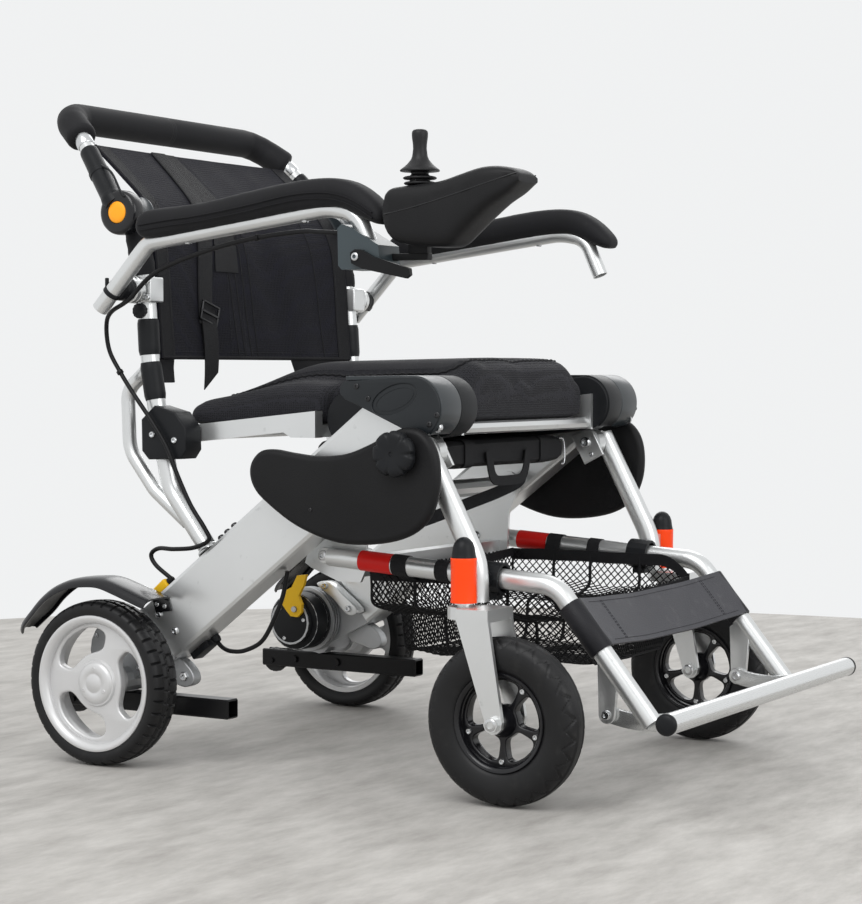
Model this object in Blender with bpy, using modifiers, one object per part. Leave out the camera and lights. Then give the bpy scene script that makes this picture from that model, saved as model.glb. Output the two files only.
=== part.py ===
"""Folding power wheelchair with side guards, a storage basket and a joystick.

Lengths are in metres. The chair stands on Z = 0 and faces -Y, and its right-hand side, which carries the
joystick, is -X. Side views are lists of (y, z) points. A piece that stands on both sides is built by one
function, with side -1 for the right and +1 for the left, from its inner and outer distance to the middle.
"""
import math

import bmesh
import bpy
from mathutils import Matrix, Vector

# Clearances and mesh fineness
GAP = 0.0003
RUNNING = 0.0003
WELD = 0.00001
FLAT = math.radians(0.2)
WHEEL_STEPS = 24
CASTER_STEPS = 20
STEM_STEPS = 14
SIDES = {"right": -1, "left": 1}

# Rear wheels
REAR_AXLE = (0.348, 0.110)
REAR_RADIUS = 0.110
REAR_WIDTH = 0.050
REAR_TRACK = 0.305
REAR_RIM_RADIUS = 0.091
REAR_RIM_DEPTH = 0.012
REAR_HUB_RADIUS = 0.030
REAR_SHAFT_RADIUS = 0.008
REAR_SHAFT_REACH = 0.016

# Casters, forks and front legs
SWIVEL = (-0.196, 0.2385)
CASTER_AXLE = (-0.254, 0.1028)
CASTER_RADIUS = 0.1025
CASTER_WIDTH = 0.047
CASTER_BEAD_RADIUS = 0.060
CASTER_WEB = 0.016
CASTER_SHAFT_RADIUS = 0.005
FORK_INNER = 0.0262
FORK_PLATE = 0.006
STEM_RADIUS = 0.008
STEM_TOP = 0.295
HOUSING_RADIUS = 0.0125
HOUSING_FOOT = 0.2408
HOUSING_TOP = 0.300
COVER_RADIUS = 0.016
COVER_STANDOFF = 0.0065
LEG_RADIUS = 0.014
LEG_SIDE_GAP = 0.0025
LEG_PIVOT = (-0.112, 0.423)
LEG_TOP = (-0.1185, 0.4335)
LEG_BEND = (-0.195, 0.287)
LEG_FOOT = 0.2410
PIVOT_BOLT_RADIUS = 0.005

# Battery tubes, the two sloping box tubes of the main frame
TUBE_SLOPE = math.radians(38)
TUBE_ANCHOR = (-0.0262, 0.4190)
TUBE_DEPTH = 0.085
TUBE_WIDTH = 0.050
TUBE_TRACK = 0.240
TUBE_REAR = -0.394
TUBE_FRONT = 0.085
TUBE_CORNER = 0.006
LUG_RADIUS = 0.020
NOTCH_RADIUS = 0.030
LUG_WIDTH = 0.0190
GUARD_STANDOFF = 0.0188
MUDGUARD_REACH = 0.001

# Seat
SEAT_PIVOT = (-0.093, 0.480)
BACK_PIVOT = (0.2925, 0.440)
SEAT_PIN_RADIUS = 0.006
ARM_INNER = 0.1797
ARM_THICKNESS = 0.006
RAIL_INNER = 0.2125
RAIL_OUTER = 0.2305
RAIL_HEIGHT = 0.023
CUSHION_HALF = 0.212
CUSHION_NOSE_HALF = 0.179
CUSHION_SHOULDER = 0.054
CUSHION_DRAW = 0.004
CUSHION_ROWS = (-0.132, -0.112, -0.060, 0.000, 0.0525, 0.0590, 0.110, 0.170, 0.230, 0.268, 0.285)

# Backrest
POST_STANDOFF = 0.0185
POST_RADIUS = 0.0127
LOOP_RADIUS = 0.0095
FOOT_ALONG = -0.2694
HUB = (0.336, 0.7355)
HUB_RADIUS = 0.030
HUB_WIDTH = 0.0215
HUB_STANDOFF = 0.015
CLAMP_STANDOFF = 0.021
BUTTON_RADIUS = 0.0147
ARM_PIVOT = (0.318, 0.633)
CANVAS_THICKNESS = 0.004
HANDLE_RADIUS = 0.0105
FOAM_RADIUS = 0.021

# Armrests and joystick
ARMREST_STANDOFF = 0.063
ARMREST_RADIUS = 0.011
PAD_WIDTH = 0.048
BRACKET_WALL = 0.0045
SLIDE_OFFSET = 0.0285
SLIDE_WIDTH = 0.0125

# Footrest
FOOTREST_TRACK = 0.214
FOOTREST_RADIUS = 0.0127
FOOTREST_PIVOT = (0.056, 0.285)
FOOTREST_BEND = (-0.285, 0.262)
FOOTREST_END = (-0.415, 0.102)
CLAMP_PLACE = (-0.197, 0.2679)
FOOT_BAR_PIVOT = (-0.350, 0.107)
FOOT_BAR = (-0.4708, 0.117)
FOOT_BAR_RADIUS = 0.0125
FOOT_BAR_HALF = 0.303

# Values that follow from the sizes above
TUBE_INNER = TUBE_TRACK - TUBE_WIDTH / 2
TUBE_OUTER = TUBE_TRACK + TUBE_WIDTH / 2
TUBE_TOP = TUBE_DEPTH / 2
LEG_TRACK = TUBE_INNER + LUG_WIDTH + LEG_SIDE_GAP + LEG_RADIUS
SWIVEL_TRACK = LEG_TRACK + LEG_RADIUS + COVER_STANDOFF + COVER_RADIUS
GUARD_INNER = LEG_TRACK + LEG_RADIUS + GUARD_STANDOFF
WHEEL_INNER_FACE = REAR_TRACK - REAR_WIDTH / 2
MUDGUARD_INNER = WHEEL_INNER_FACE - MUDGUARD_REACH
POST_TRACK = RAIL_OUTER + POST_STANDOFF
CLAMP_OUTER = POST_TRACK + CLAMP_STANDOFF
HANDLE_HUB_INNER = POST_TRACK + HUB_STANDOFF
HUB_OUTER = HANDLE_HUB_INNER + HUB_WIDTH
ARMREST_TRACK = POST_TRACK + ARMREST_STANDOFF
CONTROL_TRACK = ARMREST_TRACK
SLIDE_INNER = CONTROL_TRACK - SLIDE_OFFSET
SLIDE_OUTER = SLIDE_INNER + SLIDE_WIDTH

for old in list(bpy.data.objects):
    bpy.data.objects.remove(old, do_unlink=True)
PARTS = bpy.data.collections.new("folding_power_wheelchair")
bpy.context.scene.collection.children.link(PARTS)


# Materials

def material(name, colour, roughness, metallic=0.0):
    """A plain Principled material."""
    paint = bpy.data.materials.new(name)
    paint.use_nodes = True
    shader = paint.node_tree.nodes["Principled BSDF"]
    shader.inputs["Base Color"].default_value = (*colour, 1.0)
    shader.inputs["Roughness"].default_value = roughness
    shader.inputs["Metallic"].default_value = metallic
    return paint


SILVER = material("satin_aluminium", (0.78, 0.79, 0.80), 0.32, 0.9)
CAST = material("cast_aluminium", (0.55, 0.56, 0.57), 0.45, 0.9)
RIM_SILVER = material("rim_silver", (0.72, 0.73, 0.74), 0.38, 0.6)
STEEL = material("bright_steel", (0.65, 0.65, 0.66), 0.25, 1.0)
BLACK = material("black_plastic", (0.020, 0.020, 0.022), 0.45)
RUBBER = material("black_rubber", (0.022, 0.022, 0.024), 0.75)
FABRIC = material("black_mesh_fabric", (0.016, 0.017, 0.022), 0.9)
FOAM = material("black_foam", (0.020, 0.020, 0.022), 0.85)
LEATHERETTE = material("grey_leatherette", (0.080, 0.082, 0.090), 0.55)
ORANGE = material("orange_button", (1.0, 0.42, 0.03), 0.4)
SLEEVE_ORANGE = material("orange_sleeve", (0.95, 0.10, 0.01), 0.4)
YELLOW = material("yellow_lever", (0.70, 0.42, 0.02), 0.4)


# Bodies: empties on the joint axes

BODIES = {}


def body(name, place, parent=None):
    """An empty on a joint's axis that carries the pieces moving about it."""
    empty = bpy.data.objects.new("body_" + name, None)
    PARTS.objects.link(empty)
    BODIES[name] = (empty, Vector(place))
    empty.location = place
    if parent:
        empty.parent = BODIES[parent][0]
        empty.location = Vector(place) - BODIES[parent][1]


def part(name, solid, paint, carrier):
    """Name a finished solid, paint it and hang it on its body's empty."""
    empty, place = BODIES[carrier]
    solid.name = name
    solid.data.name = name
    solid.data.transform(Matrix.Translation(-place))
    solid.parent = empty
    solid.data.materials.clear()
    solid.data.materials.append(paint)
    solid.data.shade_smooth()
    solid.data.set_sharp_from_angle(angle=math.radians(32))
    return solid


def twin(name, source, carrier, turn=0.0):
    """A second object on another body that shares a finished piece's mesh."""
    copy = bpy.data.objects.new(name, source.data)
    PARTS.objects.link(copy)
    copy.parent = BODIES[carrier][0]
    copy.rotation_euler = (0.0, 0.0, turn)
    return copy


# Building blocks

def link_mesh(bm, name="solid"):
    """Put a bmesh into the scene as an object."""
    mesh = bpy.data.meshes.new(name)
    bm.to_mesh(mesh)
    bm.free()
    solid = bpy.data.objects.new(name, mesh)
    PARTS.objects.link(solid)
    return solid


def settle(source):
    """Replace a curve, or a mesh with modifiers, by one closed mesh in world space."""
    bpy.context.view_layer.update()
    graph = bpy.context.evaluated_depsgraph_get()
    mesh = bpy.data.meshes.new_from_object(source.evaluated_get(graph))
    mesh.transform(source.matrix_world)
    bm = bmesh.new()
    bm.from_mesh(mesh)
    bmesh.ops.remove_doubles(bm, verts=bm.verts, dist=WELD)
    bmesh.ops.recalc_face_normals(bm, faces=bm.faces)
    if bm.calc_volume(signed=True) < 0:
        bmesh.ops.reverse_faces(bm, faces=bm.faces)
    bpy.data.objects.remove(source, do_unlink=True)
    bpy.data.meshes.remove(mesh)
    return link_mesh(bm)


def combine(target, others, operation):
    """Join solids to a target, or cut them from it, one after the other."""
    for other in others:
        modifier = target.modifiers.new("combine", "BOOLEAN")
        modifier.operation = operation
        modifier.solver = "EXACT"
        modifier.object = other
        target = settle(target)
        bpy.data.objects.remove(other, do_unlink=True)
    bm = bmesh.new()
    bm.from_mesh(target.data)
    bmesh.ops.dissolve_limit(bm, angle_limit=FLAT, verts=bm.verts, edges=bm.edges)
    bm.to_mesh(target.data)
    bm.free()
    return target


def unite(target, *others):
    return combine(target, others, "UNION")


def cut(target, *others):
    return combine(target, others, "DIFFERENCE")


def softened(solid, width, segments=1, angle=40):
    """Round the edges of a solid that are sharper than an angle."""
    modifier = solid.modifiers.new("soften", "BEVEL")
    modifier.width = width
    modifier.segments = segments
    modifier.limit_method = "ANGLE"
    modifier.angle_limit = math.radians(angle)
    return settle(solid)


def extruded(outlines, frame, half):
    """A flat outline, with the later outlines as its holes, extruded to both sides of a plane."""
    curve = bpy.data.curves.new("outline", "CURVE")
    curve.dimensions = "2D"
    curve.fill_mode = "BOTH"
    curve.extrude = half
    for outline in outlines:
        spline = curve.splines.new("POLY")
        spline.points.add(len(outline) - 1)
        for point, (across, up) in zip(spline.points, outline):
            point.co = (across, up, 0.0, 1.0)
        spline.use_cyclic_u = True
    shape = bpy.data.objects.new("outline", curve)
    shape.matrix_world = frame
    PARTS.objects.link(shape)
    return settle(shape)


def side_plate(outlines, side, inner, outer):
    """A piece cut from a side view, between an inner and an outer distance to the middle."""
    middle = side * (inner + outer) / 2
    frame = Matrix(((0, 0, 1, middle), (1, 0, 0, 0), (0, 1, 0, 0), (0, 0, 0, 1)))
    return extruded(outlines, frame, abs(outer - inner) / 2)


def level_plate(outlines, low, high):
    """A piece cut from a plan view, between two heights."""
    return extruded(outlines, Matrix.Translation((0, 0, (low + high) / 2)), (high - low) / 2)


def block(low, high):
    """A box between two corners."""
    bm = bmesh.new()
    bmesh.ops.create_cube(bm, size=1.0)
    low = Vector(low)
    high = Vector(high)
    for vert in bm.verts:
        vert.co = Vector(((high[axis] + low[axis]) / 2 + vert.co[axis] * abs(high[axis] - low[axis]))
                         for axis in range(3))
    return link_mesh(bm)


def tube(points, radius, sides=12):
    """A round tube or wire along a path."""
    curve = bpy.data.curves.new("tube", "CURVE")
    curve.dimensions = "3D"
    curve.bevel_depth = radius
    curve.bevel_resolution = sides // 2 - 2
    curve.use_fill_caps = True
    spline = curve.splines.new("POLY")
    spline.points.add(len(points) - 1)
    for point, place in zip(spline.points, points):
        point.co = (*place, 1.0)
    shape = bpy.data.objects.new("tube", curve)
    PARTS.objects.link(shape)
    return settle(shape)


def cross_rod(place, side, inner, outer, radius, sides=12):
    """A round rod across the chair, at a (y, z) place, between two distances to the middle."""
    return tube([(side * inner, *place), (side * outer, *place)], radius, sides)


def turned(profile, frame, steps=24, ring=False):
    """A solid turned about its frame's Z axis; a ring's profile closes on itself."""
    bm = bmesh.new()
    corners = [bm.verts.new((radius, 0.0, height)) for radius, height in profile]
    for first, second in zip(corners, corners[1:]):
        bm.edges.new((first, second))
    if ring:
        bm.edges.new((corners[-1], corners[0]))
    shape = link_mesh(bm)
    screw = shape.modifiers.new("turn", "SCREW")
    screw.axis = "Z"
    screw.angle = math.tau
    screw.steps = steps
    screw.render_steps = steps
    screw.use_merge_vertices = True
    screw.merge_threshold = 0.00005
    shape.matrix_world = frame
    return settle(shape)


def outward_frame(side, x, place):
    """A frame whose Z axis points away from the middle of the chair."""
    return Matrix.Translation((side * x, *place)) @ Matrix.Rotation(side * math.pi / 2, 4, "Y")


def upward_frame(x, y):
    return Matrix.Translation((x, y, 0.0))


def arc(centre, radius, start, end, count):
    """Points along a round stretch of an outline, by angle in degrees."""
    points = []
    for step in range(count + 1):
        angle = math.radians(start + (end - start) * step / count)
        points.append((centre[0] + radius * math.cos(angle), centre[1] + radius * math.sin(angle)))
    return points


def circle(centre, radius, count=20):
    return arc(centre, radius, 0, 360 * (count - 1) / count, count - 1)


def rounded(points, radius, steps=3):
    """Round the inner corners of a path in space; the radius is one value or one for each corner."""
    points = [Vector(point) for point in points]
    radii = radius if isinstance(radius, (list, tuple)) else [radius] * (len(points) - 2)
    path = [points[0]]
    for before, corner, after, bend in zip(points, points[1:], points[2:], radii):
        arm_in = before - corner
        arm_out = after - corner
        half = arm_in.angle(arm_out) / 2
        reach = min(bend / math.tan(half), 0.48 * arm_in.length, 0.48 * arm_out.length)
        centre = corner + (arm_in.normalized() + arm_out.normalized()).normalized() * (reach / math.cos(half))
        start = corner + arm_in.normalized() * reach - centre
        end = corner + arm_out.normalized() * reach - centre
        for step in range(steps + 1):
            path.append(centre + start.slerp(end, step / steps) * start.length)
    path.append(points[-1])
    return path


def smooth_path(points, spacing):
    """Evenly spaced points along a smooth curve through the points of a cord's route."""
    points = [Vector(point) for point in points]
    ends = [points[0] * 2 - points[1]] + points + [points[-1] * 2 - points[-2]]
    dense = []
    for first, second, third, fourth in zip(ends, ends[1:], ends[2:], ends[3:]):
        for step in range(12):
            t = step / 12
            dense.append(0.5 * ((2 * second) + (third - first) * t
                                + (2 * first - 5 * second + 4 * third - fourth) * t * t
                                + (3 * second - first - 3 * third + fourth) * t ** 3))
    dense.append(points[-1])
    path = [dense[0]]
    for point in dense[1:-1]:
        if (point - path[-1]).length >= spacing and (point - dense[-1]).length >= spacing / 2:
            path.append(point)
    path.append(dense[-1])
    return path


def in_plane(x, places):
    """Side-view points as points in space at one distance across."""
    return [(x, *place) for place in places]


def on_tube(along, above):
    """A side-view point of the battery tube: along its slope from the anchor and above its centre line."""
    across = TUBE_ANCHOR[0] - along * math.cos(TUBE_SLOPE) + above * math.sin(TUBE_SLOPE)
    up = TUBE_ANCHOR[1] + along * math.sin(TUBE_SLOPE) + above * math.cos(TUBE_SLOPE)
    return (across, up)


def tube_frame(side, x, along, above):
    """A frame on the battery tube: X across the chair, Y off the tube's face, Z up along its slope."""
    across, up = on_tube(along, above)
    slope_sin = math.sin(TUBE_SLOPE)
    slope_cos = math.cos(TUBE_SLOPE)
    return Matrix(((1, 0, 0, side * x), (0, slope_sin, -slope_cos, across), (0, slope_cos, slope_sin, up),
                   (0, 0, 0, 1)))


def rounded_rectangle(width, height, radius, steps=2):
    """The outline of a rectangle with round corners, about its middle."""
    across = width / 2 - radius
    up = height / 2 - radius
    outline = []
    for sign_x, sign_y, start in ((1, 1, 0), (-1, 1, 90), (-1, -1, 180), (1, -1, 270)):
        outline += arc((sign_x * across, sign_y * up), radius, start, start + 90, steps)
    return outline


# Main frame

def make_battery_tube(name, side):
    """Sloping box tube with the lug that carries the front leg's bolt."""
    frame = tube_frame(side, TUBE_TRACK, (TUBE_REAR + TUBE_FRONT) / 2, 0.0)
    section = rounded_rectangle(TUBE_WIDTH, TUBE_DEPTH, TUBE_CORNER)
    box = extruded([section], frame, (TUBE_FRONT - TUBE_REAR) / 2)
    lug_outer = TUBE_INNER + LUG_WIDTH
    notch = side_plate([circle(LEG_PIVOT, NOTCH_RADIUS)], side, lug_outer, TUBE_OUTER + 0.01)
    lug = side_plate([circle(LEG_PIVOT, LUG_RADIUS)], side, TUBE_INNER + GAP, lug_outer - GAP)
    bolt = cross_rod(LEG_PIVOT, side, TUBE_INNER + 0.004, GUARD_INNER - GAP, PIVOT_BOLT_RADIUS)
    head = cross_rod(LEG_PIVOT, side, TUBE_INNER - 0.006, TUBE_INNER + 0.005, 0.008, 8)
    body_of_tube = unite(cut(box, notch), lug, bolt, head)
    part("battery_tube_" + name, body_of_tube, SILVER, "chassis")


COVER_ARC = (-0.120, 0.479)
COVER_RADIUS_FRONT = 0.040
COVER_WALL = 0.006
COVER_INNER_FACE = ARM_INNER + ARM_THICKNESS + GAP
COVER_OUTER_FACE = 0.281
COVER_REAR = (0.012, 0.462)
RECESS_RISE = 0.0095


def make_hinge_cover(name, side):
    """Moulded cover over the seat hinge: inner plate, outer plate and the rim between them."""
    top = COVER_ARC[1] + COVER_RADIUS_FRONT
    outer_arc = arc(COVER_ARC, COVER_RADIUS_FRONT, 95, 235, 7)
    inner_arc = arc(COVER_ARC, COVER_RADIUS_FRONT - COVER_WALL, 235, 95, 7)
    rim = [(-0.020, top - 0.001), (-0.100, top)] + outer_arc + inner_arc
    rim += [(-0.100, top - COVER_WALL), (-0.020, top - COVER_WALL - 0.001)]
    band = side_plate([rim], side, COVER_INNER_FACE + 0.002, COVER_OUTER_FACE - 0.003)
    face = [(-0.036, 0.483), (-0.017, 0.491), (-0.011, 0.502), (-0.019, 0.5115), (-0.100, top - 0.0015)]
    face += arc(COVER_ARC, COVER_RADIUS_FRONT - 0.0015, 95, 239, 7) + [(-0.128, 0.443)]
    outer = softened(side_plate([face], side, TUBE_OUTER + GAP, COVER_OUTER_FACE), 0.003)
    slant = math.degrees(math.atan2(COVER_REAR[1] - COVER_ARC[1], COVER_REAR[0] - COVER_ARC[0]))
    stadium = arc(COVER_ARC, COVER_RADIUS_FRONT - 0.0020, slant + 90, slant + 270, 6)
    stadium += arc(COVER_REAR, COVER_RADIUS_FRONT - 0.0020, slant - 90, slant + 90, 6)
    inner = side_plate([stadium], side, COVER_INNER_FACE, TUBE_INNER - GAP)
    seat = cross_rod(SEAT_PIVOT, side, COVER_INNER_FACE - 0.01, COVER_INNER_FACE + 0.012,
                     SEAT_PIN_RADIUS + RUNNING)
    recess = [(SEAT_PIVOT[0] + across, SEAT_PIVOT[1] + RECESS_RISE + up)
              for across, up in ellipse(0.034, 0.017, -20)]
    hollow = side_plate([recess], side, COVER_OUTER_FACE - 0.003, COVER_OUTER_FACE + 0.01)
    cover = cut(unite(band, outer, inner), seat, hollow)
    part("hinge_cover_" + name, cover, BLACK, "chassis")


def ellipse(long_half, short_half, turn, count=16):
    """An ellipse about the origin, turned by an angle in degrees."""
    turn = math.radians(turn)
    points = []
    for step in range(count):
        angle = math.tau * step / count
        along = long_half * math.cos(angle)
        across = short_half * math.sin(angle)
        points.append((along * math.cos(turn) - across * math.sin(turn),
                       along * math.sin(turn) + across * math.cos(turn)))
    return points


GUSSET_INNER = 0.189
GUSSET_THICKNESS = 0.005
CROSS_TUBE = (0.003, 0.362)
CROSS_TUBE_RADIUS = 0.0127
BEAM = ((0.016, 0.256), (0.042, 0.280))


def make_cross_frame():
    """The two gusset plates that carry the footrest, the round cross tube and the square cross beam."""
    pieces = []
    outer = GUSSET_INNER + GUSSET_THICKNESS
    outline = [(0.098, 0.272), (0.092, 0.292), (0.068, 0.326), (0.032, 0.356)]
    outline += arc(CROSS_TUBE, 0.018, 50, 200, 5) + [(0.002, 0.318), (0.004, 0.266), (0.012, 0.250),
                                                     (0.046, 0.250), (0.088, 0.266)]
    for side in SIDES.values():
        pieces.append(side_plate([outline], side, GUSSET_INNER, outer))
        pieces.append(cross_rod((0.062, 0.317), side, outer - 0.002, TUBE_INNER - GAP, 0.010, 8))
        pieces.append(cross_rod(FOOTREST_PIVOT, side, outer - 0.002, TUBE_INNER - 2 * GAP,
                                PIVOT_BOLT_RADIUS, 10))
    round_tube = cross_rod(CROSS_TUBE, 1, GAP - TUBE_INNER, TUBE_INNER - GAP, CROSS_TUBE_RADIUS, 10)
    low, high = BEAM
    beam = block((-GUSSET_INNER - 0.001, *low), (GUSSET_INNER + 0.001, *high))
    part("cross_frame", unite(round_tube, *pieces, beam), SILVER, "chassis")


MOTOR_AXIS = (0.358, 0.145)
MOTOR_RADIUS = 0.043
MOTOR_END = 0.152
GEARBOX_RADIUS = 0.046
GEARBOX_OUTER = 0.262
AXLE_BOSS_RADIUS = 0.019


def make_drive_unit(name, side):
    """Gearbox on the battery tube's lower end, with its motor inboard and the wheel shaft outboard."""
    drum = side_plate([circle(MOTOR_AXIS, GEARBOX_RADIUS)], side, TUBE_INNER, GEARBOX_OUTER)
    neck = [on_tube(TUBE_REAR - GAP, -TUBE_TOP + 0.001), on_tube(TUBE_REAR - GAP, TUBE_TOP - 0.001),
            (MOTOR_AXIS[0] - 0.006, MOTOR_AXIS[1] + GEARBOX_RADIUS - 0.002), (MOTOR_AXIS[0], MOTOR_AXIS[1]),
            (REAR_AXLE[0] - 0.010, REAR_AXLE[1] - 0.010), (REAR_AXLE[0] - 0.017, REAR_AXLE[1] - 0.002)]
    mount = side_plate([neck], side, TUBE_INNER + 0.003, GEARBOX_OUTER - 0.003)
    boss = cross_rod(REAR_AXLE, side, TUBE_INNER + 0.002, WHEEL_INNER_FACE - GAP, AXLE_BOSS_RADIUS, 12)
    shaft = cross_rod(REAR_AXLE, side, TUBE_OUTER - 0.01, WHEEL_INNER_FACE + REAR_SHAFT_REACH,
                      REAR_SHAFT_RADIUS)
    length = TUBE_INNER - MOTOR_END
    can = [(0.0, length), (0.034, length), (0.034, length - 0.010), (MOTOR_RADIUS, length - 0.012),
           (MOTOR_RADIUS, -0.004), (0.0, -0.004)]
    motor = turned(can, outward_frame(-side, -TUBE_INNER, MOTOR_AXIS), 20)
    pin = cross_rod(LEVER_PIVOT, side, MOTOR_END - 0.009, MOTOR_END + 0.004, 0.0045, 8)
    part("drive_unit_" + name, unite(drum, mount, boss, shaft, motor, pin), CAST, "chassis")


LEVER_PIVOT = (0.345, 0.166)
LEVER_THICKNESS = 0.006


def make_freewheel_lever(name, side):
    """Yellow lever on the motor's end that frees the wheel for pushing."""
    outline = [(0.324, 0.219), (0.340, 0.217), (0.350, 0.199), (0.366, 0.191), (0.371, 0.176), (0.360, 0.163)]
    outline += [(0.352, 0.155), (0.340, 0.154), (0.333, 0.161), (0.332, 0.174), (0.338, 0.186),
                (0.328, 0.204)]
    plate = side_plate([outline], side, MOTOR_END - GAP - LEVER_THICKNESS, MOTOR_END - GAP)
    bore = cross_rod(LEVER_PIVOT, side, MOTOR_END - 0.02, MOTOR_END + 0.01, 0.0045 + RUNNING + 0.0001, 8)
    lever = cut(plate, bore)
    part("freewheel_lever_" + name, lever, YELLOW, "freewheel_" + name)


ARM_BAR_WIDTH = 0.025
ARM_BAR_TRACK = 0.240
ARM_BAR_TOP = REAR_AXLE[1] - AXLE_BOSS_RADIUS - GAP
ARM_BAR_HEIGHT = 0.026
ARM_BAR_FRONT = 0.182
ARM_BAR_REAR = 0.462
ROLLER_PLACE = (0.443, 0.0735)
ROLLER_RADIUS = 0.0195
ROLLER_WIDTH = 0.0144
ROLLER_PIN_RADIUS = 0.004


def make_antitip_arm(name, side):
    """Square bar below the gearbox, open at the front, forked around its roller at the rear."""
    inner = ARM_BAR_TRACK - ARM_BAR_WIDTH / 2
    outer = ARM_BAR_TRACK + ARM_BAR_WIDTH / 2
    low = ARM_BAR_TOP - ARM_BAR_HEIGHT
    bar = softened(block((side * inner, ARM_BAR_FRONT, low),
                         (side * outer, ARM_BAR_REAR, ARM_BAR_TOP)), 0.002)
    wall = 0.0025
    pocket = block((side * (inner + wall), ARM_BAR_FRONT - 0.01, low + wall),
                   (side * (outer - wall), ARM_BAR_FRONT + 0.018, ARM_BAR_TOP - wall))
    slot_half = ROLLER_WIDTH / 2 + RUNNING
    slot = block((side * (ARM_BAR_TRACK - slot_half), ROLLER_PLACE[0] - ROLLER_RADIUS - 0.003, low - 0.01),
                 (side * (ARM_BAR_TRACK + slot_half), ARM_BAR_REAR + 0.01, ARM_BAR_TOP + 0.01))
    pin = cross_rod(ROLLER_PLACE, side, inner - 0.003, outer + 0.003, ROLLER_PIN_RADIUS, 8)
    heads = [cross_rod((y, low + ARM_BAR_HEIGHT / 2), side, inner - 0.004, inner + 0.004, 0.006, 8)
             for y in (0.322, 0.400)]
    arm = unite(cut(bar, pocket, slot), pin, *heads)
    part("antitip_arm_" + name, arm, BLACK, "chassis")


def make_antitip_rollers():
    """Small rollers at the ends of the anti-tip arms."""
    half = ROLLER_WIDTH / 2
    bore = ROLLER_PIN_RADIUS + RUNNING + 0.0001
    edge = ROLLER_RADIUS - 0.0015
    profile = [(bore, half), (edge, half), (ROLLER_RADIUS, 0.0), (edge, -half), (bore, -half)]
    ring = turned(profile, outward_frame(-1, ARM_BAR_TRACK, ROLLER_PLACE), 14, ring=True)
    first = part("antitip_roller_right", ring, RUBBER, "antitip_roller_right")
    twin("antitip_roller_left", first, "antitip_roller_left")


def make_mudguard(name, side):
    """Curved guard over the rear wheel with an outer lip and the tab that fixes it to the battery tube."""
    shape = [(0.478, 0.176), (0.466, 0.191), (0.446, 0.207), (0.428, 0.225), (0.400, 0.240), (0.366, 0.2475),
             (0.334, 0.2475), (0.302, 0.239), (0.278, 0.2305), (0.258, 0.224)]
    sheet = side_plate([shape + below(shape, 0.003)], side, MUDGUARD_INNER, MUDGUARD_OUTER)
    rim = shape[1:] + below(shape, 0.009)[:-1]
    lip = side_plate([rim], side, MUDGUARD_OUTER - 0.0025, MUDGUARD_OUTER + 0.0005)
    tab = side_plate([[(0.262, 0.206), (0.288, 0.202), (0.296, 0.234), (0.270, 0.226)]], side,
                     TUBE_OUTER + GAP, TUBE_OUTER + 0.004)
    shelf = side_plate([[(0.270, 0.2235), (0.296, 0.2325), (0.294, 0.2355), (0.268, 0.2268)]], side,
                       TUBE_OUTER + 0.001, MUDGUARD_INNER + 0.012)
    part("mudguard_" + name, unite(sheet, lip, tab, shelf), BLACK, "chassis")


def below(path, depth):
    """The line under a path that runs forwards, at a depth square to it, from its end back to its start."""
    line = []
    for index, (y, z) in enumerate(path):
        before = path[max(index - 1, 0)]
        after = path[min(index + 1, len(path) - 1)]
        along = Vector((after[0] - before[0], after[1] - before[1])).normalized()
        line.insert(0, (y - along.y * depth, z + along.x * depth))
    return line


MUDGUARD_OUTER = 0.3305

GUARD_OUTER = GUARD_INNER + 0.0167
GUARD_SCREW = (0.019, 0.350)


def make_side_guard(name, side):
    """Rounded side guard outside the frame, held at the leg's bolt and by a screw on the battery tube."""
    outline = [(0.115, 0.392), (0.112, 0.409), (0.098, 0.423), (0.080, 0.4255), (0.048, 0.4215),
               (0.010, 0.4175), (-0.030, 0.421), (-0.064, 0.433), (-0.093, 0.447), (-0.118, 0.4555),
               (-0.142, 0.4505), (-0.159, 0.430), (-0.166, 0.402), (-0.162, 0.367), (-0.145, 0.336),
               (-0.112, 0.317), (-0.060, 0.308), (-0.010, 0.3105), (0.045, 0.3285), (0.090, 0.356),
               (0.108, 0.374)]
    panel = softened(side_plate([outline], side, GUARD_INNER, GUARD_OUTER), 0.005, 1, 50)
    seat = cross_rod(GUARD_SCREW, side, TUBE_OUTER + GAP, GUARD_INNER + 0.004, 0.008, 8)
    screw = cross_rod(GUARD_SCREW, side, GUARD_OUTER - 0.004, GUARD_OUTER + 0.0012, 0.0045, 8)
    part("side_guard_" + name, unite(panel, seat, screw), BLACK, "chassis")


KNOB_RADIUS = 0.029
KNOB_HEIGHT = 0.0215
KNOB_STEPS = 12


def make_guard_knob(name, side):
    """Hand knob with three lobes on the leg's bolt."""
    lobes = []
    for step in range(KNOB_STEPS):
        angle = math.tau * step / KNOB_STEPS
        reach = KNOB_RADIUS - 0.0022 * (1 + math.cos(3 * angle)) / 2
        lobes.append((LEG_PIVOT[0] + reach * math.cos(angle), LEG_PIVOT[1] + reach * math.sin(angle)))
    base = GUARD_OUTER + GAP
    crown = softened(side_plate([lobes], side, base + 0.004, base + KNOB_HEIGHT), 0.003, 1, 50)
    collar = cross_rod(LEG_PIVOT, side, base, base + 0.008, 0.022)
    dish = cross_rod(LEG_PIVOT, side, base + KNOB_HEIGHT - 0.003, base + KNOB_HEIGHT + 0.01, 0.015)
    part("guard_knob_" + name, cut(unite(crown, collar), dish), BLACK, "guard_knob_" + name)


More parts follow.
